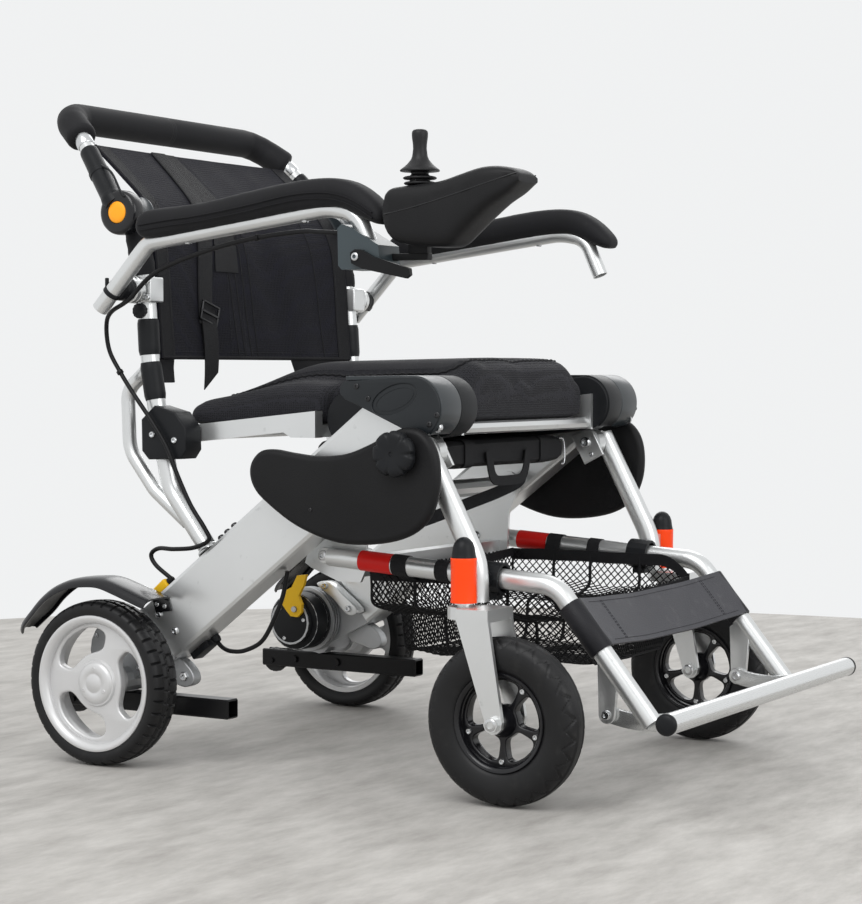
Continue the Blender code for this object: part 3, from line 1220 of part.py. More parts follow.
def make_armrest_pad(name, side):
    """Padded arm support, rounded, with the tube let into its underside."""
    outline = [(0.272, 0.722), (0.262, 0.7320), (0.167, 0.7390), (0.098, 0.7500), (0.028, 0.7600),
               (-0.018, 0.7630), (-0.050, 0.7590), (-0.090, 0.7370), (-0.108, 0.7140), (-0.096, 0.7035),
               (-0.060, 0.7180), (-0.036, 0.7270), (0.013, 0.7250), (0.100, 0.7140), (0.250, 0.6960),
               (0.270, 0.7020)]
    inner = ARMREST_TRACK - PAD_WIDTH / 2
    outer = ARMREST_TRACK + PAD_WIDTH / 2
    pad = softened(side_plate([outline], side, inner, outer), 0.009, 2, 50)
    groove = tube(armrest_path(side), ARMREST_RADIUS + GAP, 10)
    part("armrest_pad_" + name, cut(pad, groove), FOAM, "armrest_" + name)


# Joystick

STICK_PIVOT = (-0.149, 0.7535)
RAIL_LOW = 0.6600
RAIL_HIGH = 0.6685
BRACKET_INNER = SLIDE_INNER - BRACKET_WALL
BRACKET_OUTER = ARMREST_TRACK + ARMREST_RADIUS + BRACKET_WALL


def make_joystick_bracket():
    """Clamp block on the armrest tube's end with the channel for the joystick's rail."""
    outline = [(-0.040, 0.7000), (-0.046, 0.7050), (-0.060, 0.7000), (-0.099, 0.6780), (-0.101, 0.6520),
               (-0.098, 0.6490), (-0.046, 0.6490), (-0.041, 0.6540)]
    shell = side_plate([outline], -1, BRACKET_INNER, BRACKET_OUTER)
    seat = tube(armrest_path(-1), ARMREST_RADIUS + GAP, 10)
    channel = block((-SLIDE_INNER + RUNNING, -0.13, RAIL_LOW - RUNNING),
                    (-SLIDE_OUTER - RUNNING, 0.0, RAIL_HIGH + RUNNING))
    pin = cross_rod(CAM_PIVOT, -1, BRACKET_OUTER - 0.008, BRACKET_OUTER + 0.008, 0.0035, 8)
    part("joystick_bracket", unite(cut(shell, seat, channel), pin), BLACK, "armrest_right")


CAM_PIVOT = (-0.070, 0.6640)


def make_bracket_lever():
    """Cam lever that locks the joystick's rail in the bracket."""
    outline = [(-0.0625, 0.6690), (-0.0640, 0.6560), (-0.0800, 0.6490), (-0.1420, 0.6360), (-0.1480, 0.6400),
               (-0.1470, 0.6480), (-0.0940, 0.6640), (-0.0780, 0.6725), (-0.0690, 0.6730)]
    inner = BRACKET_OUTER + GAP
    plate = side_plate([outline], -1, inner, inner + 0.006)
    bore = cross_rod(CAM_PIVOT, -1, inner - 0.01, inner + 0.02, 0.0035 + RUNNING + 0.0001, 8)
    part("bracket_lever", cut(plate, bore), BLACK, "bracket_lever")


CONTROL_WIDTH = 0.064


def make_joystick_housing():
    """Joystick housing with its raised prow, the rail below and the well for the stick."""
    outline = [(-0.112, 0.7100), (-0.113, 0.7380), (-0.118, 0.7450), (-0.132, 0.7475), (-0.188, 0.7520),
               (-0.242, 0.7660), (-0.270, 0.7665), (-0.289, 0.7620), (-0.2985, 0.7530), (-0.2955, 0.7430),
               (-0.283, 0.7340), (-0.262, 0.7220), (-0.240, 0.7050), (-0.218, 0.6860), (-0.204, 0.6750),
               (-0.190, 0.6725), (-0.130, 0.6775), (-0.1175, 0.6850)]
    inner = CONTROL_TRACK - CONTROL_WIDTH / 2
    outer = CONTROL_TRACK + CONTROL_WIDTH / 2
    case = softened(side_plate([outline], -1, inner, outer), 0.007, 1, 45)
    rail = block((-SLIDE_INNER, -0.150, RAIL_LOW), (-SLIDE_OUTER, -0.036, RAIL_HIGH))
    riser = block((-SLIDE_INNER - 0.0005, -0.149, RAIL_LOW + 0.001), (-SLIDE_OUTER + 0.0005, -0.122, 0.6900))
    y, z = STICK_PIVOT
    boot = [(0.0, z + 0.0080), (0.0155, z + 0.0080), (0.0190, z), (0.0200, z - 0.0120), (0.0, z - 0.0120)]
    well = [(0.0, z + 0.02), (0.0125, z + 0.02), (0.0125, z - 0.0100), (0.0, z - 0.0100)]
    frame = upward_frame(-CONTROL_TRACK, y)
    case = unite(case, rail, riser, turned(boot, frame, 20))
    part("joystick_housing", cut(case, turned(well, frame, 20)), BLACK, "joystick")


def make_joystick_gimbal():
    """Small ring in the well that lets the stick tilt two ways."""
    y, z = STICK_PIVOT
    profile = [(0.0082, z + 0.0025), (0.0108, z + 0.0025), (0.0108, z - 0.0025), (0.0082, z - 0.0025)]
    ring = turned(profile, upward_frame(-CONTROL_TRACK, y), 10, ring=True)
    reach = 0.0125 - RUNNING
    trunnions = [cross_rod((y, z), -1, CONTROL_TRACK + offset * 0.0095, CONTROL_TRACK + offset * reach,
                           0.0015, 8) for offset in (-1, 1)]
    part("joystick_gimbal", unite(ring, *trunnions), STEEL, "gimbal")


def make_joystick_stick():
    """Joystick with a ribbed boot and a waisted knob."""
    y, z = STICK_PIVOT
    profile = [(0.0, 0.8165), (0.0080, 0.8155), (0.0096, 0.8120), (0.0085, 0.7960), (0.0070, 0.7900),
               (0.0092, 0.7870), (0.0078, 0.7845), (0.0106, 0.7800), (0.0088, 0.7775), (0.0114, 0.7720),
               (0.0060, 0.7690), (0.0040, z + 0.0090), (0.0040, z - 0.0030), (0.0, z - 0.0030)]
    stick = turned(profile, upward_frame(-CONTROL_TRACK, y), 10)
    reach = 0.0075
    trunnion = tube([(-CONTROL_TRACK, y - reach, z), (-CONTROL_TRACK, y + reach, z)], 0.0015, 8)
    part("joystick_stick", unite(stick, trunnion), BLACK, "stick")


def make_joystick_cable():
    """Control cable along the armrest and the post to the plug on the battery tube."""
    under = -ARMREST_TRACK
    beside = -POST_TRACK - 0.025
    route = [(under, -0.0365, 0.6950), (under, 0.000, 0.6975), (under, 0.026, 0.6985),
             (under, 0.102, 0.6915), (under, 0.180, 0.6760), (under, 0.253, 0.6520),
             (under + 0.004, 0.300, 0.6180), (under + 0.016, 0.338, 0.6030),
             (beside - 0.010, 0.356, 0.5860), (beside - 0.002, 0.358, 0.5530), (beside, 0.341, 0.5230),
             (beside, 0.318, 0.4930), (beside, 0.292, 0.4620), (beside, 0.266, 0.4270),
             (beside, 0.250, 0.3940), (-0.2730, 0.227, 0.3500), (-0.2715, 0.204, 0.3180),
             (-0.2700, 0.199, 0.3030), (-0.2680, 0.224, 0.2920), (-0.2620, 0.262, 0.2880),
             (-0.2530, 0.294, 0.2870), (-0.2500, 0.3090, 0.2780), (-0.2500, 0.3010, 0.2640)]
    plug_half = 0.017
    plug = extruded([rounded_rectangle(0.014, 0.012, 0.003, 2)],
                    tube_frame(-1, 0.250, PLUG_ALONG, TUBE_TOP + GAP + 0.006), plug_half)
    for reach in (plug_half + 0.006, plug_half - 0.006):
        route.append((-0.2500, *on_tube(PLUG_ALONG + reach, TUBE_TOP + GAP + 0.006)))
    cord = tube(smooth_path(route, 0.020), 0.003, 8)
    part("joystick_cable", unite(cord, plug), RUBBER, "backrest")


PLUG_ALONG = -0.366

# Bodies

body("chassis", (0.0, 0.0, 0.0))
for name, side in SIDES.items():
    body("rear_wheel_" + name, (side * REAR_TRACK, *REAR_AXLE), "chassis")
    body("antitip_roller_" + name, (side * ARM_BAR_TRACK, *ROLLER_PLACE), "chassis")
    body("freewheel_" + name, (side * MOTOR_END, *LEVER_PIVOT), "chassis")
    body("guard_knob_" + name, (side * GUARD_OUTER, *LEG_PIVOT), "chassis")
    body("front_leg_" + name, (side * LEG_TRACK, *LEG_PIVOT), "chassis")
    body("leg_clamp_" + name, (side * FOOTREST_TRACK, *CLAMP_PLACE), "front_leg_" + name)
    body("caster_fork_" + name, (side * SWIVEL_TRACK, *SWIVEL), "front_leg_" + name)
    body("caster_wheel_" + name, (side * SWIVEL_TRACK, *CASTER_AXLE), "caster_fork_" + name)
body("footrest", (0.0, *FOOTREST_PIVOT), "chassis")
body("foot_bar", (0.0, *FOOT_BAR_PIVOT), "footrest")
body("seat", (0.0, *SEAT_PIVOT), "chassis")
body("backrest", (0.0, *BACK_PIVOT), "seat")
body("push_handle", (0.0, *HUB), "backrest")
for name, side in SIDES.items():
    body("armrest_" + name, (side * ARMREST_TRACK, *ARM_PIVOT), "backrest")
    body("release_button_" + name, (side * HUB_OUTER, *HUB), "push_handle")
body("joystick", (-CONTROL_TRACK, *STICK_PIVOT), "armrest_right")
body("gimbal", (-CONTROL_TRACK, *STICK_PIVOT), "joystick")
body("stick", (-CONTROL_TRACK, *STICK_PIVOT), "gimbal")
body("bracket_lever", (-BRACKET_OUTER, *CAM_PIVOT), "armrest_right")

# Pieces

for name, side in SIDES.items():
    make_battery_tube(name, side)
    make_hinge_cover(name, side)
    make_drive_unit(name, side)
    make_freewheel_lever(name, side)
    make_antitip_arm(name, side)
    make_mudguard(name, side)
    make_side_guard(name, side)
    make_guard_knob(name, side)
    make_front_leg(name, side)
    make_stem_cover(name, side)
    make_leg_clamp(name, side)
    make_footrest_tube(name, side)
    make_back_post(name, side)
    make_release_button(name, side)
    make_armrest_tube(name, side)
    make_armrest_pad(name, side)
make_antitip_rollers()
make_rear_wheels()
make_caster_forks()
make_caster_wheels()
make_cross_frame()
make_motor_cable()
make_calf_strap()
make_storage_basket()
make_foot_bar()
make_seat_frame()
make_seat_cushion()
make_seat_tray()
make_back_canvas()
make_push_handle()
make_joystick_bracket()
make_bracket_lever()
make_joystick_housing()
make_joystick_gimbal()
make_joystick_stick()
make_joystick_cable()
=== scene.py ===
import math

import bmesh
import bpy
from mathutils import Matrix, Vector
from mathutils.bvhtree import BVHTree


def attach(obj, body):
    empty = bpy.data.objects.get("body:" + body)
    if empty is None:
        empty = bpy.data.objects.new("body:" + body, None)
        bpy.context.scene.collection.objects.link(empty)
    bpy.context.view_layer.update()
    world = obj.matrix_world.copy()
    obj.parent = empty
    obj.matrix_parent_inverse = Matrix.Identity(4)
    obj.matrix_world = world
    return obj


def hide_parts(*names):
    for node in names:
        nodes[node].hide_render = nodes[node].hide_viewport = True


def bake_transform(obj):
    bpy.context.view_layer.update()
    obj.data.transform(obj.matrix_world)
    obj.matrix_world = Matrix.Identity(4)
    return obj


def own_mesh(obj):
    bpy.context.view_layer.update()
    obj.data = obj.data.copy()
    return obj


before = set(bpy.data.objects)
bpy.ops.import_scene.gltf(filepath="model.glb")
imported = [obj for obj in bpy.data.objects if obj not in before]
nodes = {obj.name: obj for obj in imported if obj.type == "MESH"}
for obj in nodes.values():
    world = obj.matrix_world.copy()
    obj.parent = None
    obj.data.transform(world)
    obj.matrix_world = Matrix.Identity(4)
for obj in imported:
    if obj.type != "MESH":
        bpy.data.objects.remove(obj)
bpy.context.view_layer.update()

SIDES = {"right": -1, "left": 1}

# Camera, floor and daylight
# The chair stands on a pale smooth floor in a bright room. It is seen from its right, a little ahead,
# from sitting height.


def placed(name, data):
    """A new object in the scene."""
    thing = bpy.data.objects.new(name, data)
    bpy.context.scene.collection.objects.link(thing)
    return thing


camera = placed("camera", bpy.data.cameras.new("camera"))
camera.data.sensor_width = 36.0
camera.data.lens = 89.2
camera.location = (-2.6454, -1.5434, 0.5250)
camera.rotation_euler = (math.radians(90 - 2.08), 0.0, math.radians(-59.42))
bpy.context.scene.camera = camera


def put(tree, socket, value):
    """Link a node's output to a socket, or set the socket to a plain value."""
    if isinstance(value, bpy.types.NodeSocket):
        tree.links.new(value, socket)
    else:
        socket.default_value = value


def node_in(tree, kind, **inputs):
    """A new node of a material or a group, its inputs given by name."""
    node = tree.nodes.new("ShaderNode" + kind)
    for label, value in inputs.items():
        put(tree, node.inputs[label.replace("_", " ")], value)
    return node


def mixed(tree, share, first, second):
    """Two colours mixed by a mask."""
    mix = node_in(tree, "Mix")
    mix.data_type = "RGBA"
    put(tree, mix.inputs[0], share)
    for socket, colour in ((mix.inputs[6], first), (mix.inputs[7], second)):
        put(tree, socket, (*colour, 1.0) if isinstance(colour, tuple) else colour)
    return mix.outputs[2]


bm = bmesh.new()
bmesh.ops.create_circle(bm, cap_ends=True, segments=160, radius=1.9)
floor = placed("floor", bpy.data.meshes.new("floor"))
bm.to_mesh(floor.data)
bm.free()
concrete = bpy.data.materials.new("pale_concrete")
concrete.use_nodes = True
tree = concrete.node_tree
drag = node_in(tree, "Mapping", Vector=node_in(tree, "TexCoord").outputs["Object"],
               Rotation=(0.0, 0.0, math.radians(59.4)), Scale=(0.9, 2.6, 1.0))
cloud = node_in(tree, "TexNoise", Vector=drag.outputs["Vector"], Scale=6.5, Detail=9.0, Roughness=0.70)
stain = node_in(tree, "MapRange", Value=cloud.outputs["Fac"], From_Min=0.30, From_Max=0.66)
tone = mixed(tree, stain.outputs["Result"], (0.300, 0.286, 0.268), (0.490, 0.474, 0.450))
shader = tree.nodes["Principled BSDF"]
put(tree, shader.inputs["Base Color"], tone)
shader.inputs["Roughness"].default_value = 0.75
floor.data.materials.append(concrete)

sky = bpy.data.worlds.new("bright_room")
sky.use_nodes = True
daylight = sky.node_tree.nodes["Background"]
daylight.inputs["Color"].default_value = (0.950, 0.960, 0.965, 1.0)
daylight.inputs["Strength"].default_value = 0.92
bpy.context.scene.world = sky
bpy.context.scene.view_settings.view_transform = "Standard"
CHAIR_MIDDLE = Vector((0.0, 0.0, 0.45))
for name, spot, size, power in (("window_light", (-2.6, -0.2, 3.0), 2.2, 62.0),
                                ("front_light", (-0.8, -3.4, 1.9), 2.4, 38.0),
                                ("far_light", (2.8, 1.2, 2.4), 2.4, 34.0)):
    lamp = placed(name, bpy.data.lights.new(name, "AREA"))
    lamp.data.size = size
    lamp.data.energy = power
    lamp.location = spot
    lamp.rotation_euler = (CHAIR_MIDDLE - Vector(spot)).to_track_quat("-Z", "Y").to_euler()

# Box tubes and cross members
# The main frame: two sloping box tubes of extruded aluminium with a satin silver coat, bolted to
# a square beam and a round tube between them.


def shader_group(name, setting, value):
    """A node group with one number to set, and the object's own coordinates inside it."""
    group = bpy.data.node_groups.new(name, "ShaderNodeTree")
    socket = group.interface.new_socket(setting, in_out="INPUT", socket_type="NodeSocketFloat")
    socket.default_value = value
    return group, node_in(group, "TexCoord").outputs["Object"], group.nodes.new("NodeGroupInput").outputs[0]


def masks(group, **outputs):
    """A group's outputs, in the order given."""
    ends = group.nodes.new("NodeGroupOutput")
    for label, value in outputs.items():
        group.interface.new_socket(label, in_out="OUTPUT", socket_type="NodeSocketFloat")
        group.links.new(value, ends.inputs[label])


def noise(group, place, scale, detail=2.0):
    return node_in(group, "TexNoise", Vector=place, Scale=scale, Detail=detail).outputs["Fac"]


def between(group, value, low, high):
    """A mask that rises smoothly from 0 to 1 as a value goes from low to high."""
    step = node_in(group, "MapRange", Value=value, From_Min=low, From_Max=high)
    step.interpolation_type = "SMOOTHSTEP"
    return step.outputs["Result"]


def sum_of(tree, first, second, kind="ADD"):
    """Two values put together by a Math node."""
    node = node_in(tree, "Math")
    node.operation = kind
    put(tree, node.inputs[0], first)
    put(tree, node.inputs[1], second)
    return node.outputs[0]


coated_metal, place, flake = shader_group("coated_metal", "Flake", 1500.0)
masks(coated_metal, Height=noise(coated_metal, place, flake, 1.0), Tone=noise(coated_metal, place, 11.0, 5.0),
      Wear=between(coated_metal, noise(coated_metal, place, 70.0, 5.0), 0.66, 0.78))


def finish(name, slot, group, dark, light, rough, metallic=0.0, bump=0.1, depth=0.0002, grain=None,
           over=None, **fixed):
    """A material whose colour and roughness follow a group's Tone and whose bump follows its Height. One of
    the group's masks may lay another colour over it, in part."""
    material = bpy.data.materials.new(name)
    material.use_nodes = True
    tree = material.node_tree
    surface = node_in(tree, "Group")
    surface.node_tree = group
    if grain:
        surface.inputs[0].default_value = grain
    tone = surface.outputs["Tone"]
    colour = mixed(tree, tone, dark, light)
    if over:
        label, share, layer = over
        mask = surface.outputs[label]
        if share < 1:
            mask = sum_of(tree, mask, share, "MULTIPLY")
        colour = mixed(tree, mask, colour, layer)
    gloss = node_in(tree, "MapRange", Value=tone, To_Min=rough[0], To_Max=rough[1])
    relief = node_in(tree, "Bump", Height=surface.outputs["Height"], Strength=bump, Distance=depth)
    shader = tree.nodes["Principled BSDF"]
    values = {"Base_Color": colour, "Roughness": gloss.outputs["Result"], "Normal": relief.outputs["Normal"],
              "Metallic": metallic, "Specular_IOR_Level": 0.5 if metallic else 0.2, **fixed}
    for label, value in values.items():
        put(tree, shader.inputs[label.replace("_", " ")], value)
    return material


def paint(names, material):
    """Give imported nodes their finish."""
    for name in names:
        for slot in nodes[name].material_slots:
            slot.material = material


def pair(name):
    return [name + "_right", name + "_left"]


satin_silver = finish("satin_silver", "satin_aluminium", coated_metal, (0.66, 0.67, 0.67), (0.74, 0.75, 0.75),
                      (0.26, 0.36), metallic=0.85, bump=0.05, over=("Wear", 1, (0.60, 0.61, 0.61)))
paint(pair("battery_tube") + ["cross_frame"], satin_silver)


def link(name, mesh, material, body=None, angle=40, instead_of=None):
    """Put a finished mesh into the scene, smooth-shaded, in its finish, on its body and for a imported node."""
    piece = placed(name, mesh)
    mesh.materials.clear()
    mesh.materials.append(material)
    mesh.shade_smooth()
    mesh.set_sharp_from_angle(angle=math.radians(angle))
    if body:
        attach(piece, body)
    if instead_of:
        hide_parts(instead_of)
    return piece


def made(bm, outward=False):
    """The mesh of a bmesh, its faces turned outward where they need it."""
    if outward:
        bmesh.ops.recalc_face_normals(bm, faces=bm.faces)
    mesh = bpy.data.meshes.new("piece")
    bm.to_mesh(mesh)
    bm.free()
    return mesh


def circle(centre, first, second, reach, sides):
    """Points round a centre, in the plane of two directions."""
    turns = [math.tau * step / sides for step in range(sides)]
    return [centre + (first * math.cos(turn) + second * math.sin(turn)) * reach for turn in turns]


def turned(profile, *places, steps=32):
    """A solid turned about its own Z axis, once at each place, all in one mesh. The profile runs from
    the top of the axis, down the outside, and back to the axis."""
    bm = bmesh.new()
    for placing in places:
        rings = []
        for radius, height in profile:
            spots = [Vector((0, 0, height))]
            if radius > 1e-6:
                spots = circle(spots[0], Vector((1, 0, 0)), Vector((0, 1, 0)), radius, steps)
            rings.append([bm.verts.new(placing @ spot) for spot in spots])
        if len(rings[0]) > 1:
            rings.append(rings[0])
        for upper, lower in zip(rings, rings[1:]):
            for step in range(steps):
                after = (step + 1) % steps
                corners = (upper[step % len(upper)], lower[step % len(lower)], lower[after % len(lower)],
                           upper[after % len(upper)])
                bm.faces.new(list(dict.fromkeys(corners)))
    return made(bm, outward=True)


def mm(*sizes):
    """Sizes given in millimetres, or rows of them, in metres."""
    return [mm(*size) if isinstance(size, tuple) else size / 1000 for size in sizes]


def facing(place, direction):
    """A frame at a place whose Z axis points along a direction."""
    turn = Vector(direction).to_track_quat("Z", "Y").to_matrix().to_4x4()
    return Matrix.Translation(place) @ turn


def across(side, x, y, z):
    """A frame whose Z axis points away from the middle of the chair."""
    return facing((side * x, y, z), (side, 0, 0))


def both_sides(kind, x, spots):
    """Frames of one kind at (y, z) spots on both sides of the chair."""
    return [kind(side, x, y, z) for side in SIDES.values() for y, z in spots]


def cap_screw(radius, height):
    """The profile of a round-headed screw with a hollow for its key, by its size in millimetres."""
    hollow = radius * 0.45
    return mm((0, height * 0.35), (hollow, height * 0.35), (hollow * 1.08, height), (radius * 0.75, height),
              (radius * 0.95, height * 0.7), (radius, height * 0.2), (radius, -height * 0.4), (0, -height * 0.4))


def screws(name, radius, height, frames, material, body, steps=32):
    """Round-headed screws of one size, one in each frame."""
    link(name, turned(cap_screw(radius, height), *frames, steps=steps), material, body)


bright_steel = finish("bright_steel", "steel", coated_metal, (0.50, 0.51, 0.52), (0.74, 0.75, 0.76),
                      (0.16, 0.30), metallic=1.0, bump=0.03)
screws("box_tube_bolts", 5.2, 2.8, both_sides(across, 0.2651, mm((258.5, 179), (285, 200))), bright_steel,
       "chassis")

# Hinge covers
# Moulded black covers, an inner and an outer plate with a rim between them, held by small screws over
# the seat's hinge pins. Their outer plates have a shallow oval finger recess.

moulded, place, grain = shader_group("moulded_plastic", "Grain", 1900.0)
upward = node_in(moulded, "SeparateXYZ", Vector=node_in(moulded, "NewGeometry").outputs["Normal"])
masks(moulded, Height=node_in(moulded, "TexVoronoi", Vector=place, Scale=grain).outputs["Distance"],
      Tone=noise(moulded, place, 16.0, 4.0),
      Dust=sum_of(moulded, between(moulded, upward.outputs["Z"], 0.35, 1.0),
                  between(moulded, noise(moulded, place, 420.0), 0.50, 0.72), "MULTIPLY"))
DUST = (0.06, 0.06, 0.06)
black_moulding = finish("black_moulding", "black_plastic", moulded, (0.005, 0.0055, 0.0065),
                        (0.011, 0.012, 0.014), (0.34, 0.48), bump=0.18, over=("Dust", 0.2, DUST))
dark_screw = finish("dark_screw", "steel", coated_metal, (0.035, 0.035, 0.037), (0.07, 0.07, 0.072),
                    (0.25, 0.36), metallic=1.0, bump=0.03)
slate_moulding = finish("slate_moulding", "black_plastic", moulded, (0.012, 0.016, 0.019), (0.022, 0.028, 0.033),
                        (0.24, 0.36), Specular_IOR_Level=0.5)
dull_slate = finish("dull_slate", "black_plastic", moulded, (0.007, 0.009, 0.011), (0.013, 0.016, 0.019),
                    (0.34, 0.48), bump=0.25, depth=0.0003, grain=1100.0, Specular_IOR_Level=0.35)


def as_mesh(shape, placing=None):
    """Turn a curve, or a mesh with modifiers, into one welded mesh and drop the old object."""
    bpy.context.view_layer.update()
    graph = bpy.context.evaluated_depsgraph_get()
    mesh = bpy.data.meshes.new_from_object(shape.evaluated_get(graph))
    if placing:
        mesh.transform(placing)
    bm = bmesh.new()
    bm.from_mesh(mesh)
    bmesh.ops.remove_doubles(bm, verts=bm.verts, dist=0.00002)
    bmesh.ops.recalc_face_normals(bm, faces=bm.faces)
    if bm.calc_volume(signed=True) < 0:
        bmesh.ops.reverse_faces(bm, faces=bm.faces)
    bm.to_mesh(mesh)
    bm.free()
    bpy.data.objects.remove(shape, do_unlink=True)
    return mesh


def plate(outlines, side, inner, outer, round_by=0.0, steps=3):
    """A piece cut from (y, z) outlines between two distances to the middle, with rounded edges."""
    curve = bpy.data.curves.new("plate", "CURVE")
    curve.dimensions = "2D"
    curve.fill_mode = "BOTH"
    curve.extrude = abs(outer - inner) / 2 - round_by
    curve.bevel_depth = round_by
    curve.bevel_resolution = steps
    curve.offset = -round_by
    for outline in outlines:
        spline = curve.splines.new("POLY")
        spline.points.add(len(outline) - 1)
        for point, (y, z) in zip(spline.points, outline):
            point.co = (y, z, 0.0, 1.0)
        spline.use_cyclic_u = True
    middle = side * (inner + outer) / 2
    return as_mesh(placed("plate", curve), Matrix(((0, 0, 1, middle), (1, 0, 0, 0), (0, 1, 0, 0), (0, 0, 0, 1))))


def joined(meshes):
    """Several meshes put into one."""
    bm = bmesh.new()
    for mesh in meshes:
        bm.from_mesh(mesh)
        bpy.data.meshes.remove(mesh)
    return made(bm)


def around(centre, radius, start, end, count):
    """Points along an arc, by angle in degrees."""
    angles = [math.radians(start + (end - start) * step / count) for step in range(count + 1)]
    return [(centre[0] + radius * math.cos(angle), centre[1] + radius * math.sin(angle)) for angle in angles]


COVER_ARC = (-0.120, 0.479)
COVER_REAR = (0.012, 0.462)
COVER_FACE = 0.281
COVER_SLANT = math.degrees(math.atan2(COVER_REAR[1] - COVER_ARC[1], COVER_REAR[0] - COVER_ARC[0]))
RECESS = (-0.093, 0.4895)


def oval(long_half, short_half):
    """An oval about the recess's middle, tipped down towards the front."""
    tip = math.radians(-20)
    points = []
    for long_share, short_share in around((0.0, 0.0), 1.0, 0, 352.5, 47):
        run, rise = long_half * long_share, short_half * short_share
        points.append((RECESS[0] + run * math.cos(tip) - rise * math.sin(tip),
                       RECESS[1] + run * math.sin(tip) + rise * math.cos(tip)))
    return points


for name, side in SIDES.items():
    outline = mm((-36, 483), (-21, 488.5), (-13.5, 496), (-12.5, 503.5), (-19, 511.2), (-100, 517.2))
    outline += around(COVER_ARC, 0.0385, 95, 239, 36) + mm((-128, 443))
    shell = plate([outline], side, 0.2653, 0.2790, round_by=0.0012)
    skin = plate([outline, oval(0.034, 0.017)], side, 0.2786, COVER_FACE, round_by=0.0011)
    well = plate([oval(0.0345, 0.0175)], side, 0.2784, 0.2795, round_by=0.0003)
    lip = plate([oval(0.0290, 0.0125), oval(0.0278, 0.0113)], side, 0.2790, 0.2800, round_by=0.0003)
    link("hinge_cover_face_" + name, joined([shell, skin, well, lip]), dull_slate, "chassis", angle=50,
         instead_of="hinge_cover_" + name)
    rim = mm((-20, 518), (-100, 519)) + around(COVER_ARC, 0.0400, 95, 235, 40)
    rim += around(COVER_ARC, 0.0345, 235, 95, 40) + mm((-100, 513.5), (-20, 512.5))
    link("hinge_cover_band_" + name, plate([rim], side, 0.2290, 0.2785, round_by=0.0014), slate_moulding,
         "chassis", angle=50)
    stadium = around(COVER_ARC, 0.0380, COVER_SLANT + 90, COVER_SLANT + 270, 36)
    stadium += around(COVER_REAR, 0.0380, COVER_SLANT - 90, COVER_SLANT + 90, 36)
    halves = [plate([stadium], side, 0.1860, 0.2147, round_by=0.0020),
              plate([rim], side, 0.1885, 0.2288, round_by=0.0012)]
    link("hinge_cover_inner_" + name, joined(halves), black_moulding, "chassis", angle=50)
COVER_SCREWS = mm((-38, 505.5), (-55, 490.2), (-154.6, 470.7), (-144, 459))
screws("cover_screws", 3.6, 1.4, both_sides(across, COVER_FACE, COVER_SCREWS), dark_screw, "chassis")
screws("cover_bolts", 6.2, 4.0, both_sides(across, COVER_FACE - 0.012, mm((-149.3, 455.2))), bright_steel,
       "chassis")

# Drive units
# A cast gearbox closes each box tube at its lower end and is bolted to a bracket and a lug. The motor's
# drum stands inboard, with cooling ribs round it and a yellow lever that frees the wheel.

rough_casting = finish("rough_casting", "cast_aluminium", coated_metal, (0.36, 0.37, 0.38), (0.58, 0.59, 0.60),
                       (0.42, 0.58), metallic=0.85, bump=0.5, depth=0.0006, grain=420.0)
paint(pair("drive_unit"), rough_casting)
yellow_moulding = finish("yellow_moulding", "yellow_plastic", moulded, (0.66, 0.38, 0.012), (0.82, 0.50, 0.020),
                         (0.36, 0.50), bump=0.12)
paint(pair("freewheel_lever"), yellow_moulding)


def inward(side, x, y, z):
    """A frame whose Z axis points to the middle of the chair."""
    return facing((side * x, y, z), (-side, 0, 0))


MOTOR = (0.358, 0.145)
DRUM = mm((0, 63.2), (30, 63.2), (33.2, 62.5), (34.8, 60), (34.8, 53.5), (40.5, 52), (43.2, 50.5), (44, 48),
          (44, 25), (42.5, 24.5), (42.5, 22.5), (44, 22), (44, 4), (0, 4))
RIB = mm((40.5, 2), (49, 1.6), (49.5, 0), (49, -1.6), (40.5, -2))
link("motor_drums", turned(DRUM, *both_sides(inward, 0.2150, [MOTOR]), steps=56), black_moulding, "chassis")
ribs = [inward(side, 0.2135 - 0.0065 * step, *MOTOR) for side in SIDES.values() for step in range(3)]
link("motor_ribs", turned(RIB, *ribs, steps=56), rough_casting, "chassis")
frames = both_sides(across, 0.2618, around(MOTOR, 0.040, 30, 330, 5))
frames += both_sides(inward, 0.1520, around(MOTOR, 0.026, 50, 290, 2))
screws("drive_screws", 3.2, 2.4, frames, bright_steel, "chassis", steps=20)


def smooth_line(points, count, closed=True):
    """Points along a smooth curve through the given ones, the same number in each stretch."""
    points = [Vector(point) for point in points]
    line = []
    total = len(points)
    for index in range(total if closed else total - 1):
        if closed:
            first, second, third, fourth = (points[(index + shift) % total] for shift in (-1, 0, 1, 2))
        else:
            second, third = points[index], points[index + 1]
            first = points[index - 1] if index > 0 else second * 2 - third
            fourth = points[index + 2] if index + 2 < total else third * 2 - second
        for step in range(count):
            t = step / count
            line.append(0.5 * (2 * second + (third - first) * t
                               + (2 * first - 5 * second + 4 * third - fourth) * t * t
                               + (3 * second - first - 3 * third + fourth) * t ** 3))
    if not closed:
        line.append(points[-1])
    return line


def cast_pair(name, outline, inner, outer, round_by, material):
    """The same plate on both sides of the frame."""
    plates = [plate([outline], side, inner, outer, round_by=round_by) for side in SIDES.values()]
    link(name, joined(plates), material, "chassis")


